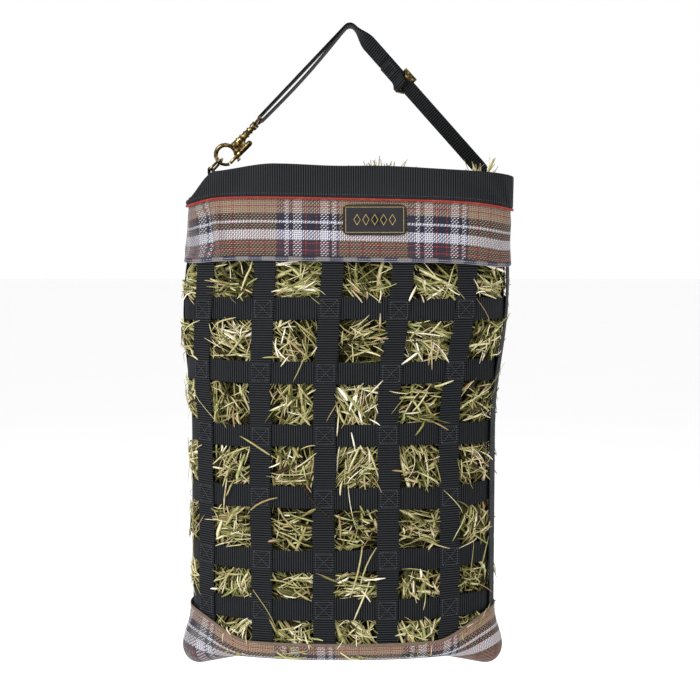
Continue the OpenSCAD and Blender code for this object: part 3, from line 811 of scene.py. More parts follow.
def makeHemCloth():
    # the folded mesh, with a pale woven edge along its foot
    s = Shade("hem")
    u, v = s.cloth()
    thread = s.cosine(u + v, 1.5)
    pale = s.span(s.noise(35, 2), 0.35, 0.6)
    fold = s.blend(s.span(s.cosine(u, 31.0), 0.4, 0.6), (0.035, 0.035, 0.06), (0.16, 0.14, 0.14))
    colour = s.blend(s.span(v, 4.1, 4.4) * (0.3 + 0.5 * pale), fold, (0.42, 0.42, 0.5))
    colour = s.blend(thread * 0.45, colour, (0.03, 0.03, 0.045))
    return s.finish(colour, 0.6 + 0.1 * thread, thread, depth=0.0002, strength=0.6)


hem = ringPiece("collarHem", hemProfile, 900, makeHemCloth(), -271.0, slot="plaid_mesh", replaces=["collar_hem"])
girth(-235.0, 3.0) / 1000


def seamRow(name, height, off, pitch, material, **rest):
    # a row of stitches round the bag at height(w) and off(w)
    w = evenAngles(-200.0, int(rimLength / pitch))
    ahead = w + 0.004
    p, n = contour(w, height(w), off(w))
    seamStitches(name, p, contour(ahead, height(ahead), off(ahead))[0] - p, n, material, **rest)


seamRow("bandSeam", lambda w: bandLow(w) + 3.4, lambda w: bandOff + bandThick + 0.15 + bandBelly(w, 0.09), 3.4,
        blackThread, length=2.3, radius=0.26)
seamRow("hemSeam", lambda w: hemTop(w) - 2.4, lambda w: meshOff + meshThick / 2 + 0.78 + drape(w, 1.0), 3.4,
        paleThread, length=2.4, radius=0.25)
print("mouth made")


# ---------- bottom panel ----------
def panelCorner(w):
    # 1 at the four corners of the bottom and 0 between them
    x, y = np.cos(w), np.sin(w)
    n = bag["bodyPower"]
    t = np.degrees(np.arctan2(np.abs(y) ** (n / 2), np.abs(x) ** (n / 2)))
    return np.exp(-(((90 - t) - bag["earAt"]) / bag["earSpread"]) ** 2)


def panelPoints(w, inner, wallRows=14, bendRows=8, floorRows=10):
    # wall, rounded edge, then a floor that runs to the middle; inner moves it all inwards
    radius = 19 - inner
    corner = panelCorner(w)
    low = bag["bottomHeight"] - bag["earDrop"] * corner + inner
    top = panelTop(w)
    rows, downs = [], []
    for f in np.linspace(0, 1, wallRows):
        z = top + (low + radius - top) * f
        bulge = bag["earOut"] * corner * smooth(0, 1, f) + 0.8 * np.sin(11 * w) * np.sin(np.pi * f) * (inner == 0)
        rows.append(contour(w, z, meshOff + meshThick - inner + bulge)[0])
    for a in np.linspace(0, np.pi / 2, bendRows + 1)[1:]:
        z = low + radius * (1 - np.sin(a))
        rows.append(contour(w, z, meshOff + meshThick - inner + bag["earOut"] * corner - radius * (1 - np.cos(a)))[0])
    edge = rows[-1]
    centre = np.array([centreX(bag["bottomHeight"]), 0, bag["bottomHeight"] + inner])
    for f in np.linspace(0, 1, floorRows + 1)[1:-1]:
        share = 1 - f
        p = edge.copy()
        p[:, :2] = centre[:2] + (edge[:, :2] - centre[:2]) * share
        p[:, 2] = centre[2] + (edge[:, 2] - centre[2]) * share ** 1.5
        rows.append(p)
    return np.array(rows), centre


def makeBottomPanel():
    # two skins a mesh's thickness apart, joined round the top edge and closed to a point in the middle
    count = 360
    w = evenAngles(-700.0, count)
    outer, tip = panelPoints(w, 0.0)
    inner, innerTip = panelPoints(w, meshThick)
    rows = len(outer)
    points = np.concatenate([outer.reshape(-1, 3), inner.reshape(-1, 3), tip[None], innerTip[None]])
    steps = np.linalg.norm(np.diff(outer, axis=0), axis=2)
    down = np.concatenate([np.zeros((1, count)), np.cumsum(steps, 0)])
    around = np.linalg.norm(np.diff(np.concatenate([outer, outer[:, :1]], 1), axis=1), axis=2)
    arc = np.concatenate([np.zeros((rows, 1)), np.cumsum(around[:1].repeat(rows, 0), 1)], 1)
    arc = arc - arc[:, count // 2:count // 2 + 1] - 4.5
    down = np.concatenate([down, down[:, :1]], 1)
    uvOne = np.stack([arc, down], -1)
    faces, corners = gridFaces(rows, count, closeCols=True)
    start = rows * count
    allFaces = [faces, faces[:, ::-1] + start]
    uvFlat = uvOne.reshape(-1, 2)
    allUv = [uvFlat[corners], uvFlat[corners][:, ::-1]]
    j = np.arange(count)
    allFaces.append(np.stack([j, (j + 1) % count, start + (j + 1) % count, start + j], 1))
    allUv.append(np.stack([uvFlat[j], uvFlat[j + 1], uvFlat[j + 1], uvFlat[j]], 1))
    tips = 2 * start
    last = (rows - 1) * count
    caps = [[last + a, last + (a + 1) % count, tips] for a in j]
    caps += [[start + b, start + a, tips + 1] for a, b, _ in caps]
    return makePiece("bottomPanel", points, np.concatenate(allFaces), panelPlaid, body="bag", uv=np.concatenate(allUv),
                     caps=[np.array(c) for c in caps], slot="plaid_mesh", replaces=["bottom_panel"])


bottomPanel = makeBottomPanel()


def bindingProfile(w):
    # the folded edge of the panel
    top = panelTop(w)
    out = [(0.6, 0.3), (0.75, 1.1), (0.2, 1.6), (-2.6, 1.6), (-3.0, 1.2), (-3.0, 1.0), (-2.6, 0.95), (0.0, 0.95)]
    offs = np.array([meshOff + o + 0 * w for h, o in out])
    heights = np.array([top + h for h, o in out])
    return offs, heights, top - heights


panelEdge = makeThread("panel edge", (0.05, 0.034, 0.026), (0.22, 0.155, 0.11))
ringPiece("panelBinding", bindingProfile, 700, panelEdge, -700.0, slot="plaid_mesh")
print("bottom made")

# ---------- label ----------
label = dict(left=-8.0, width=72.0, height=35.0, lowest=-168 - 36 - 7.5 - 35.0, off=meshOff + meshThick + 0.5, thick=0.8)


def frontPoint(x, z, off):
    # the front of the outline at x, from |x/a|^n + |y/b|^n = 1
    n = power(z)
    y = halfDepth(z) * (1 - (np.abs(x - centreX(z)) / halfWidth(z)) ** n) ** (1 / n)
    return np.stack(np.broadcast_arrays(x, -y - off, z), -1)


def labelPoint(x, z, over=0.0):
    # a point of the patch, which rides on the collar's folds
    return frontPoint(x, z, label["off"] + over + 1.7 + 0.5 * np.sin(x / 24))


def makeLabelPiece():
    # a thin patch with rounded corners and a soft edge
    m = 64
    t = np.linspace(0, 2 * np.pi, m, endpoint=False)
    n = 9.0
    r = (np.abs(np.cos(t)) ** n + np.abs(np.sin(t)) ** n) ** (-1 / n)
    cx, cz = label["left"] + label["width"] / 2, label["lowest"] + label["height"] / 2
    rings = []
    for share, off in [(0.0, 1.0), (0.5, 1.0), (0.9, 1.0), (0.975, 0.95), (1.0, 0.6), (1.0, 0.2), (0.975, 0.0),
                       (0.5, 0.0), (0.0, 0.0)]:
        x = cx + label["width"] / 2 * r * np.cos(t) * max(share, 1e-3)
        z = cz + label["height"] / 2 * r * np.sin(t) * max(share, 1e-3)
        rings.append(labelPoint(x, z, label["thick"] * off))
    rings = np.array(rings)
    uv = np.stack([rings[..., 0], rings[..., 2]], -1)
    uv = np.concatenate([uv, uv[:, :1]], 1)
    return sweptPiece("wovenLabel", rings, labelCloth, uv, body="bag", slot="label", replaces=["woven_label"])


makeLabelPiece()


def labelMarks():
    # a plain border of gold stitches and a row of small lozenges, woven on the patch
    cx, cz = label["left"] + label["width"] / 2, label["lowest"] + label["height"] / 2
    a, b = label["width"] / 2 - 3.2, label["height"] / 2 - 3.2
    ends = [((-a, -b), (a, -b)), ((-a, b), (a, b)), ((-a, -b), (-a, b)), ((a, -b), (a, b))]
    rows = [row(*pair, 2.2) for pair in ends]
    h, g = 6.0, 3.6
    for c in (-20, -10, 0, 10, 20):
        tips = [(c - g, 0), (c, h), (c + g, 0), (c, -h), (c - g, 0)]
        rows += [row(tips[n], tips[n + 1], 1.8) for n in range(4)]
    mid = np.concatenate([r[0] for r in rows]) + [cx, cz]
    way = np.concatenate([r[1] for r in rows])
    centres, ahead = (labelPoint(p[:, 0], p[:, 1], label["thick"] + 0.1) for p in (mid, mid + way))
    normals = np.tile([0.0, -1.0, 0.0], (len(mid), 1))
    seamStitches("labelBorder", centres, ahead - centres, normals, goldThread, slot="label", length=2.2, radius=0.28)


labelMarks()
print("label made")

# ---------- hang strap ----------
strap = dict(hookRadius=6.0, leftSlope=46.8, leftLength=152.6, rightSlope=48.0, rightLength=237.0, twist=33.0,
             twistFrom=6.0, twistTo=32.0, sliderAt=92.0, foldLength=34.0, travel=20.0, bend=9.0, layerGap=0.2,
             eyeOff=1.6 + 0.3 + 0.75, anchorTop=-181.0, anchorLength=25.0)
strapOff = (web["thick"] + strap["layerGap"]) / 2
bendRadius = strap["hookRadius"] + web["thick"] + strap["layerGap"] / 2


def strapHeading(s):
    # the strap's slope at s, in radians: an arc over the hook between two straight legs
    return np.clip(s / bendRadius, -math.radians(strap["leftSlope"]), math.radians(strap["rightSlope"]))


def strapOut(s):
    # out of the strap's face, square to its run
    h = strapHeading(s)
    return np.stack([np.sin(h), 0 * h, np.cos(h)], -1)


def strapMiddle(s):
    # an arc over the hook, then a straight leg each way
    leftSlope, rightSlope = math.radians(strap["leftSlope"]), math.radians(strap["rightSlope"])
    rightWay = np.array([math.cos(rightSlope), 0, -math.sin(rightSlope)])
    leftWay = np.array([math.cos(leftSlope), 0, math.sin(leftSlope)])
    right = np.maximum(0, s - bendRadius * rightSlope)[..., None] * rightWay
    left = np.minimum(0, s + bendRadius * leftSlope)[..., None] * leftWay
    return np.array([0, 0, -strap["hookRadius"]]) + bendRadius * strapOut(s) + right + left


def strapFrame(s):
    # directions across and through the strap, which twists down its right leg
    twist = -math.radians(strap["twist"]) * smooth(strap["twistFrom"], strap["twistTo"], s)
    out = strapOut(s)
    side = np.array([0.0, 1.0, 0.0])
    across = np.cos(twist)[..., None] * side + np.sin(twist)[..., None] * out
    through = -np.sin(twist)[..., None] * side + np.cos(twist)[..., None] * out
    return across, through


def layerOff(s):
    # the two layers part evenly towards the eye
    return strapOff + (strap["eyeOff"] - strapOff) * np.maximum(0, -s) / strap["leftLength"]


def strapRun(name, spans, **rest):
    # spans lists (from, to, side): side 1 is the outer layer and -1 the inner one; side 0 is the turn at the eye
    middle, across, through = [], [], []
    for start, end, side in spans:
        if side == 0:
            a = np.linspace(0, np.pi, 26)[1:-1]
            s = np.full(len(a), -strap["leftLength"])
            out = strapOut(s)
            slope = math.radians(strap["leftSlope"])
            leg = -np.array([math.cos(slope), 0, math.sin(slope)])
            direction = np.cos(a)[:, None] * out + np.sin(a)[:, None] * leg
            middle.append(strapMiddle(s) + strap["eyeOff"] * direction)
            across.append(np.tile([0.0, 1.0, 0.0], (len(a), 1)))
            through.append(direction)
            continue
        count = int(abs(end - start) / web["ribPitch"] * web["samplesPerRib"]) + 2
        s = np.linspace(start, end, count)
        a, t = strapFrame(s)
        sag = 2.4 * np.sin(np.pi * np.clip((-s - 12) / (strap["leftLength"] - 12), 0, 1)) * (side < 0)
        middle.append(strapMiddle(s) + side * (layerOff(s) + sag)[:, None] * t)
        across.append(a)
        through.append(side * t)
    middle, across, through = map(np.concatenate, (middle, across, through))
    rings, uv = ribbonRings(middle, across, through, arcLengths(middle))
    return sweptPiece(name, rings, webbing, uv, slot="webbing", **rest)


returnEnd = strap["sliderAt"] - strap["foldLength"] - strap["travel"] - 2
eyeAt = -strap["leftLength"]
strapRun("hangStrap", [(strap["rightLength"] - strap["bend"], eyeAt, 1), (0, 0, 0), (eyeAt, returnEnd, -1)],
         body="hanger", replaces=["hang_strap"])
slackFrom, slackTo = returnEnd + strap["layerGap"], strap["sliderAt"] - strap["foldLength"] - strap["layerGap"]
slack = strapRun("strapSlack", [(slackFrom, slackTo, -1)], replaces=["strap_slack"])
tuple(strapMiddle(np.array(slackFrom)) / 1000)
tuple(strapMiddle(np.array(slackTo)) / 1000)
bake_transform(slack)


def anchorX():
    # just inside the rim's right side
    return contour(np.array([0.0]), np.array([-188.0]))[0][0, 0] - 2.5


def makeFlex():
    # from the leg's end down behind the rim: a cubic path whose strip turns flat to the side of the bag
    s = np.array([strap["rightLength"] - strap["bend"] + strap["layerGap"]])
    a0, t0 = (v[0] for v in strapFrame(s))
    start = strapMiddle(s)[0] + strapOff * t0
    end = np.array([anchorX() + 0.75, 0.0, strap["anchorTop"] + 0.2])
    a1 = np.array([0.0, 1.0, 0.0])
    slope = math.radians(strap["rightSlope"])
    go0, go1 = np.array([math.cos(slope), 0, -math.sin(slope)]), np.array([0.0, 0.0, -1.0])
    f = np.linspace(0, 1, 34)[:, None]
    reach = np.linalg.norm(end - start)
    middle = ((2 * f ** 3 - 3 * f ** 2 + 1) * start + (f ** 3 - 2 * f ** 2 + f) * reach * go0 * 0.8
              + (3 * f ** 2 - 2 * f ** 3) * end + (f ** 3 - f ** 2) * reach * go1 * 0.8)
    blendShare = smooth(0, 1, f)
    across = unit(a0 * (1 - blendShare) + a1 * blendShare)
    tangent = unit(np.gradient(middle, axis=0))
    through = unit(np.cross(tangent, across))
    through = through * np.sign((through @ t0))[:, None]
    across = np.cross(through, tangent)
    across = across * np.sign(across @ a0)[:, None]
    rings, uv = ribbonRings(middle, across, through, arcLengths(middle))
    piece = sweptPiece("strapFlex", rings, webbing, uv, slot="webbing", replaces=["strap_flex"])
    tuple(start / 1000)
    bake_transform(piece)


makeFlex()
ribbonPiece("strapAnchor", lambda s: np.stack([anchorX() + 0.75 + 0 * s, 0 * s, strap["anchorTop"] - s], 1),
            lambda s: np.tile([0.0, 1.0, 0.0], (len(s), 1)), lambda s: np.tile([1.0, 0.0, 0.0], (len(s), 1)),
            strap["anchorLength"], body="bag", replaces=["strap_anchor"])


def sliderPoint(x, z):
    # a point beside the slider: x along the strap and z out of it, in its own frame
    a, t = (v[0] for v in strapFrame(np.array([strap["sliderAt"]])))
    slope = math.radians(strap["rightSlope"])
    go = np.array([math.cos(slope), 0.0, -math.sin(slope)])
    base = strapMiddle(np.array([strap["sliderAt"]]))[0]
    return base + np.asarray(x)[..., None] * go + np.asarray(z)[..., None] * t, a, t, go


def makeEndFold():
    # out along the return layer, round the slider's bar and back, sewn flat on itself
    bar = -strapOff - web["thick"] / 2 - 0.3 - 1.4
    radius = 1.4 + 0.3 + web["thick"] / 2
    near = bar + radius
    run = np.linspace(-strap["foldLength"], 0, 60)
    turn = np.linspace(0, np.pi, 20)[1:-1]
    back = np.linspace(0, -strap["foldLength"] + 4, 56)
    far = bar - radius + (2 * radius - web["thick"] - 0.02) * smooth(0, 10, -back)
    x = np.concatenate([run, radius * np.sin(turn), back])
    z = np.concatenate([np.full(len(run), near), bar + radius * np.cos(turn), far])
    middle, a, t, go = sliderPoint(x, z)
    tangent = unit(np.gradient(middle, axis=0))
    across = np.tile(a, (len(middle), 1))
    through = unit(np.cross(tangent, across))
    rings, uv = ribbonRings(middle, across, through, arcLengths(middle), width=web["width"] - 0.4,
                            thick=web["thick"] - 0.04)
    sweptPiece("strapEndFold", rings, webbing, uv, body="slider", slot="webbing", replaces=["strap_end_fold"])
    # a box of stitches through the fold
    x0, x1, y1 = -27.5, -16.5, 9.5
    sides = [((x0, -y1), (x0, y1)), ((x1, -y1), (x1, y1)), ((x0, -y1), (x1, -y1)), ((x0, y1), (x1, y1))]
    spots, ways = map(np.concatenate, zip(*[row(*pair) for pair in sides]))
    lift = near - web["thick"] - web["thick"] / 2 - 0.15
    p, a, t, go = sliderPoint(spots[:, 0], np.full(len(spots), lift))
    p = p + spots[:, 1:] * a
    way = ways[:, 1:] * a + ways[:, :1] * go
    seamStitches("foldStitches", p, way, np.tile(-t, (len(way), 1)), blackThread, body="slider")


makeEndFold()


def makeTab():
    # webbing folded over the D-ring's bar, and both layers down inside the rim
    low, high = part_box("d_ring_tab")
    x0, top = (low.x + high.x) / 2 * 1000, high.z * 1000
    radius = 1.5 + 0.3 + web["thick"] / 2
    barZ = top - 3.3
    leg = 32 * np.linspace(0, 1, 48)
    squeeze = radius + (0.77 - radius) * smooth(4, 12, leg)
    turn = np.linspace(0, np.pi, 16)[1:-1]
    x = np.concatenate([-squeeze[::-1], -radius * np.cos(turn), squeeze])
    z = np.concatenate([-leg[::-1], radius * np.sin(turn), -leg])
    middle = np.stack([x0 + x, 0 * x, barZ + z], 1)
    tangent = unit(np.gradient(middle, axis=0))
    across = np.tile([0.0, 1.0, 0.0], (len(middle), 1))
    through = unit(np.cross(tangent, across))
    rings, uv = ribbonRings(middle, across, through, arcLengths(middle), width=(high.y - low.y) * 1000, thick=1.46)
    sweptPiece("dRingTab", rings, webbing, uv, body="bag", slot="webbing", replaces=["d_ring_tab"])


makeTab()


hook = dict(slope=45.3, reach=59.5, radius=11.3, turnFrom=60, turnTo=300)


def makeHookRing():
    # the hook's thick casting: a ring of the hook's own radius, heaviest on the side away from the bolt
    slope, radius = math.radians(hook["slope"]), hook["radius"]
    eye = strapMiddle(np.array([-strap["leftLength"]]))[0]
    down = -np.array([math.cos(slope), 0, math.sin(slope)])
    side = np.array([math.sin(slope), 0, -math.cos(slope)])
    turn = np.radians(np.linspace(hook["turnFrom"], hook["turnTo"], 61))[:, None]
    round_ = np.linspace(0, 2 * np.pi, 16, endpoint=False)[None, :]
    tube = 1.95 + 0.75 * np.sin((turn - turn[0]) * 0.75)
    far = radius + 0.85 * (tube - 1.9) + tube * np.cos(round_)
    centre = eye + down * hook["reach"]
    rings = centre + (far * np.cos(turn))[..., None] * side + (far * np.sin(turn))[..., None] * -down
    rings = rings + (tube * np.sin(round_))[..., None] * np.array([0.0, 1.0, 0.0])
    sweptPiece("hookRing", rings, brass, np.zeros((61, 17, 2)), body="snap", slot="brass")


makeHookRing()
print("strap made")

# ---------- hay ----------
hay = dict(deep=2600, middle=2600, front=2200, edge=3600, loose=110, top=1500, tuft=110, segments=5)


def openShare(u, z):
    # 1 in the middle of a square of the net and 0 under a strap
    f = ((u - uprightShare(1, z)) * bag["uprightCount"]) % 1
    across = np.minimum(f, 1 - f) * loopLength / bag["uprightCount"]
    levels = np.array([hoopHeight(i) for i in range(1, bag["hoopCount"] + 1)])
    down = np.abs(z[..., None] - levels).min(-1)
    return smooth(13.5, 21, across) * smooth(13.5, 21, down) * smooth(-278, -290, z)


def stalkTubes(name, path, outward, radius, flatness, tone):
    # three-sided stalks along rows of points: side = tangent x outward, and each narrows at its ends
    count, steps = path.shape[:2]
    tangent = unit(np.gradient(path, axis=1))
    side = unit(np.cross(tangent, outward))
    lift = np.cross(side, tangent)
    t = np.pi / 2 + np.arange(3) * 2 * np.pi / 3
    taper = (1 - 0.55 * np.abs(np.linspace(-1, 1, steps)) ** 4)[None, :, None, None]
    spin = (np.cos(t)[:, None] * side[:, :, None, :] * (radius * (1 + flatness))[:, None, None, None]
            + np.sin(t)[:, None] * lift[:, :, None, :] * (radius * (1 - 0.6 * flatness))[:, None, None, None])
    points = path[:, :, None, :] + spin * taper
    quads = gridFaces(steps, 3, closeCols=True)[0]
    size = steps * 3
    shift = np.arange(count) * size
    faces = (quads[None] + shift[:, None, None]).reshape(-1, 4)
    ends = np.array([[2, 1, 0], [size - 3, size - 2, size - 1]])
    caps = (ends[None] + shift[:, None, None]).reshape(-1, 3)
    return makePiece(name, points.reshape(-1, 3), faces, hayMaterial, body="bag", caps=list(caps),
                     tone=np.repeat(tone, size), slot="hay")


bunch = np.random.default_rng(5)
bunchTurn, bunchTone = bunch.uniform(0, np.pi, (14, 9)), bunch.normal(0, 0.09, (14, 9))


def squareOf(u, z):
    # column and row of the net's square at a point
    column = np.floor((u - uprightShare(1, z)) * bag["uprightCount"]).astype(int) % 12
    return column, np.clip(((bag["hoopTop"] - z) / bag["hoopPitch"] + 1).astype(int), 0, 8)


def hayLayer(name, count, depth, bulge, lengths, radii, seed, flatShare=0.3, depthShade=0.0):
    # stalks on the bag's face, mostly along their own square's lie; they swell out in the middle of each square, and
    # deeper layers get darker tones as painted shade
    r = np.random.default_rng(seed)
    u0 = r.uniform(0, 1, count)
    z0 = r.uniform(-736, -272, count)
    column, level = squareOf(u0, z0)
    angle = np.where(r.uniform(0, 1, count) < 0.6, bunchTurn[column, level] + r.normal(0, 0.4, count),
                     r.uniform(0, np.pi, count))
    length = r.uniform(*lengths, count)
    f = np.linspace(-0.5, 0.5, hay["segments"] + 1)[None, :]
    curl = r.normal(0, 0.12, count)[:, None] * (f ** 2 - 0.08) * length[:, None]
    along = f * length[:, None]
    du = np.cos(angle)[:, None] * along - np.sin(angle)[:, None] * curl
    dz = np.sin(angle)[:, None] * along + np.cos(angle)[:, None] * curl
    u, z = u0[:, None] + du / loopLength, np.clip(z0[:, None] + dz, -733, -262)
    off = r.uniform(*depth, count)[:, None] + r.uniform(0.2, 1.0, count)[:, None] * bulge * openShare(u, z)
    path, outward = place(u, z, off)
    radius = r.uniform(*radii, count) * r.choice([0.6, 1.0, 1.35], count)
    flatness = np.where(r.uniform(0, 1, count) < flatShare, 0.9, r.uniform(0, 0.3, count))
    # painted shade: the deeper the layer, the darker its stalks' tones
    tone = np.clip(r.beta(1.6, 1.5, count) * (1 - depthShade) + bunchTone[column, level], 0, 1)
    return stalkTubes(name, path, outward, radius, flatness, tone)


# the deep and middle layers are painted darker, standing in for the shade among the hay
hayLayer("hayDeep", hay["deep"], (-9.0, -6.4), 2.5, (30, 95), (0.8, 1.8), 1, depthShade=0.72)
hayLayer("hayMiddle", hay["middle"], (-6.8, -4.4), 6.0, (25, 85), (0.6, 1.5), 2, depthShade=0.42)
hayLayer("hayFront", hay["front"], (-4.8, -3.2), 9.0, (16, 60), (0.5, 1.25), 3)
print("hay layers made")


def hayEdge():
    # short ends that start inside a square and lie over the straps beside it, so the squares' edges are ragged
    r = np.random.default_rng(21)
    count = hay["edge"]
    column, level = r.integers(0, 12, count), r.integers(0, bag["hoopCount"] + 1, count)
    hoops = [hoopHeight(i) for i in range(1, bag["hoopCount"] + 1)]
    levels = np.array([bag["hemHeight"] - 14, *hoops, bag["panelHeight"] - 12])
    middle = (levels[level] + levels[level + 1]) / 2
    half = (levels[level] - levels[level + 1]) / 2 - web["width"] / 2
    cell = loopLength / bag["uprightCount"]
    wide = (cell - web["width"]) / 2
    z0 = middle + half * r.uniform(-0.85, 0.85, count)
    u0 = uprightShare(1, z0) + (column + 0.5) / bag["uprightCount"] + wide * r.uniform(-0.85, 0.85, count) / loopLength
    angle = np.where(r.uniform(0, 1, count) < 0.5, bunchTurn[column, level] + r.normal(0, 0.5, count),
                     r.uniform(0, np.pi, count)) + np.pi * r.integers(0, 2, count)
    length = r.gamma(2.5, 6.0, count) + 8
    f = np.linspace(0, 1, hay["segments"] + 1)[None, :]
    bend = r.normal(0, 0.2, count)[:, None] * f
    u = u0[:, None] + np.cos(angle[:, None] + bend) * length[:, None] * f / loopLength
    z = np.clip(z0[:, None] + np.sin(angle[:, None] + bend) * length[:, None] * f, -735, -262)
    # how far the tip passes the square's edge, in millimetres: most stop within a few
    tipAcross = (u[:, -1] - uprightShare(1, z[:, -1])) * loopLength - (column + 0.5) * cell
    past = np.maximum(np.abs(tipAcross) - wide, np.abs(z[:, -1] - middle) - half)
    keep = past < r.gamma(1.6, 3.2, count)
    off = (-4.0 + (5.4 + r.uniform(0, 2.4, count)[:, None]) * smooth(0.0, 0.45, f)
           + r.uniform(-0.5, 3.0, count)[:, None] * f ** 2)
    path, outward = place(u, z, off)
    tone = np.clip(r.beta(1.8, 1.2, count) + 0.5 * bunchTone[column, level], 0, 1)
    radius, flatness = r.uniform(0.35, 0.95, count), r.uniform(0, 0.9, count)
    stalkTubes("hayEdge", path[keep], outward[keep], radius[keep], flatness[keep], tone[keep])


hayEdge()


def looseHay():
    # a few long stalks that have worked out through the squares and lie across the straps
    r = np.random.default_rng(8)
    count = hay["loose"] * 2
    u0, z0 = r.uniform(0, 1, count), r.uniform(-705, -290, count)
    keep = np.flatnonzero(openShare(u0, z0) > 0.35)[:hay["loose"]]
    u0, z0, count = u0[keep], z0[keep], len(keep)
    angle = r.normal(np.pi / 2, 0.8, count) + np.pi * r.integers(0, 2, count)
    length = r.uniform(25, 70, count)
    f = np.linspace(0, 1, hay["segments"] + 1)[None, :]
    bend = r.normal(0, 0.2, count)[:, None] * f
    u = u0[:, None] + np.cos(angle[:, None] + bend) * length[:, None] * f / loopLength
    z = np.clip(z0[:, None] + np.sin(angle[:, None] + bend) * length[:, None] * f, -730, -262)
    off = -3.5 + 7.0 * smooth(0.0, 0.3, f) + r.uniform(0, 5, count)[:, None] * f ** 2
    path, outward = place(u, z, off)
    stalkTubes("hayLoose", path, outward, r.uniform(0.35, 0.85, count), r.uniform(0, 0.8, count),
               np.clip(r.beta(2.5, 1.2, count), 0, 1))


looseHay()


def topHay():
    # stalks strewn over the domed top of the hay, some of them standing up
    r = np.random.default_rng(12)
    count = hay["top"]
    w = r.uniform(0, 2 * np.pi, count)
    share = np.sqrt(r.uniform(0, 1, count)) * 0.97
    base = contour(w, np.full(count, -205.0), -5.0)[0]
    x, y = base[:, 0] * share, base[:, 1] * share
    z = -211 + 21 * (1 - share ** 2) + r.uniform(-3, 4, count)
    angle, pitch = r.uniform(0, 2 * np.pi, count), np.abs(r.normal(0, 0.16, count))
    length = r.uniform(25, 80, count)
    f = np.linspace(-0.5, 0.5, hay["segments"] + 1)
    go = np.stack([np.cos(angle) * np.cos(pitch), 0.6 * np.sin(angle) * np.cos(pitch), np.sin(pitch)], 1)
    path = np.stack([x, y, z], 1)[:, None] + go[:, None] * (f[None, :, None] * length[:, None, None])
    path[..., 0] = np.clip(path[..., 0], -150.0, 150.0)
    path[..., 1] = np.clip(path[..., 1], -44.0, 44.0)
    path[..., 2] += -6 * (2 * f[None, :]) ** 2 + r.normal(0, 0.6, path.shape[:2])
    path[..., 2] = np.maximum(path[..., 2], -222)
    outward = np.tile([0.0, 0.0, 1.0], path.shape[:2] + (1,))
    tone = np.clip(r.beta(2.4, 1.9, count), 0, 1)
    stalkTubes("hayTop", path, outward, r.uniform(0.4, 1.1, count), r.uniform(0, 0.8, count), tone)
    # the tuft that shows over the front of the rim, and the wisps in front of the strap's foot
    count = hay["tuft"]
    x0 = np.where(r.uniform(0, 1, count) < 0.75, r.normal(42, 11, count), r.normal(151, 4, count))
    y0 = np.where(x0 < 100, r.uniform(-30, 10, count), r.uniform(-46, -20, count))
    z0 = np.full(count, -196.0)
    lean = r.normal(0, 0.55, count)
    length = np.where(x0 < 100, r.uniform(26, 46, count), r.uniform(30, 46, count))
    f = np.linspace(0, 1, hay["segments"] + 1)
    path = np.stack([x0[:, None] + np.sin(lean)[:, None] * length[:, None] * f + 5 * f ** 2 * lean[:, None],
                     y0[:, None] + r.normal(0, 6, count)[:, None] * f,
                     z0[:, None] + np.cos(lean)[:, None] * length[:, None] * f - 3 * f ** 3], -1)
    outward = np.tile([0.0, -1.0, 0.0], path.shape[:2] + (1,))
    stalkTubes("hayTuft", path, outward, r.uniform(0.35, 0.8, count), r.uniform(0, 0.8, count),
               np.clip(r.beta(3.0, 1.3, count), 0, 1))


topHay()


def hayCore():
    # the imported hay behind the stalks: the outline's own loft, roughened, closed at its top and bottom
    count, rows = 220, 90
    w = evenAngles(-500.0, count)
    rings = []
    for z in np.linspace(-735, -214, rows):
        tuck = -9.5 - 14 * (1 - smooth(-735, -718, z))
        rough = 0.8 * np.sin(31 * w + z / 5) + 0.7 * np.sin(53 * w - z / 7) + 0.5 * np.sin(z / 3 + 17 * w)
        rings.append(contour(w, np.full(count, z), tuck + rough)[0])
    top = rings[-1]
    for share in np.linspace(0, 1, 14)[1:]:
        p = top.copy()
        p[:, :2] = top[:, :2] * (1 - share)
        p[:, 2] = -214 + 20 * (1 - (1 - share) ** 2)
        rings.append(p if share < 1 else p * 0.001 + np.array([0, 0, -194.0]) * 0.999)
    low = rings[0]
    for share in np.linspace(0, 1, 6)[1:]:
        p = low.copy()
        p[:, :2] = low[:, :2] * (1 - share) + np.array([-9.0, 0]) * share
        rings.insert(0, p if share < 1 else p + (low - low.mean(0)) * 1e-4 * np.array([1, 1, 0]))
    rings = np.array(rings)
    faces = gridFaces(len(rings), count, closeCols=True)[0]
    caps = [np.arange(count)[::-1], np.arange(count) + (len(rings) - 1) * count]
    makePiece("hayCore", rings.reshape(-1, 3), faces, coreMaterial, body="bag", caps=caps, slot="hay",
              replaces=["hay_fill"])


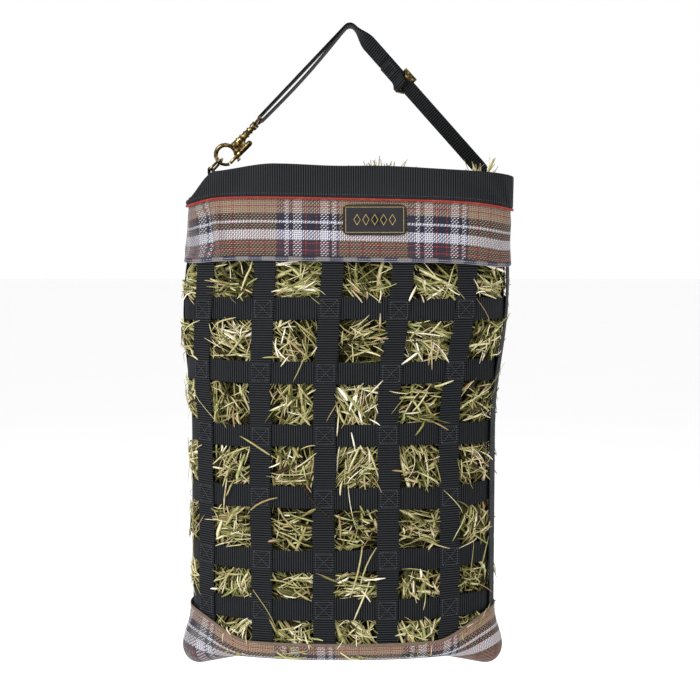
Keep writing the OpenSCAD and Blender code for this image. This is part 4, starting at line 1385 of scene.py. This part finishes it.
hayCore()
print("hay made")

# ---------- floor, light and camera ----------
stageSet = dict(floorHeight=-1.15, floorReach=60.0, keyPower=48, fillPower=2, topPower=24, world=1.0,
                cameraAt=(0.0, -1.450, -0.2767), cameraTilt=4.1665, lens=36.0 * 1208 / 700)


def makeFloor():
    # one pale square under the bag
    mesh = bpy.data.meshes.new("floor")
    size, height = stageSet["floorReach"], stageSet["floorHeight"]
    corners = [(-size, -size, height), (size, -size, height), (size, size, height), (-size, size, height)]
    mesh.from_pydata(corners, [], [(0, 1, 2, 3)])
    s = Shade("pale floor")
    mesh.materials.append(s.finish(s.blend(s.noise(2), (0.95, 0.95, 0.95), (0.97, 0.97, 0.97)), 0.9))
    floor = bpy.data.objects.new("floor", mesh)
    scene.collection.objects.link(floor)


makeFloor()


def areaLight(name, place, target, size, power):
    # a square light that faces its target
    light = bpy.data.lights.new(name, "AREA")
    light.shape, light.size, light.energy = "SQUARE", size, power
    lamp = bpy.data.objects.new(name, light)
    scene.collection.objects.link(lamp)
    lamp.location = place
    lamp.rotation_euler = (Vector(target) - Vector(place)).to_track_quat("-Z", "Y").to_euler()


areaLight("key", (-1.3, -1.9, 0.9), (0, 0, -0.35), 1.3, stageSet["keyPower"])
areaLight("fill", (1.7, -1.5, 0.3), (0, 0, -0.4), 1.6, stageSet["fillPower"])
areaLight("top", (0.1, 0.9, 1.4), (0, 0, -0.3), 1.5, stageSet["topPower"])

world = bpy.data.worlds.new("studio")
scene.world = world
world.use_nodes = True
world.node_tree.nodes["Background"].inputs[0].default_value = (1, 1, 1, 1)
world.node_tree.nodes["Background"].inputs[1].default_value = stageSet["world"]

lens = bpy.data.cameras.new("camera")
lens.sensor_width, lens.lens = 36.0, stageSet["lens"]
camera = bpy.data.objects.new("camera", lens)
scene.collection.objects.link(camera)
camera.location = stageSet["cameraAt"]
camera.rotation_euler = (math.radians(90 - stageSet["cameraTilt"]), 0, 0)
scene.camera = camera

scene.view_settings.view_transform = "Standard"

print("scene done")
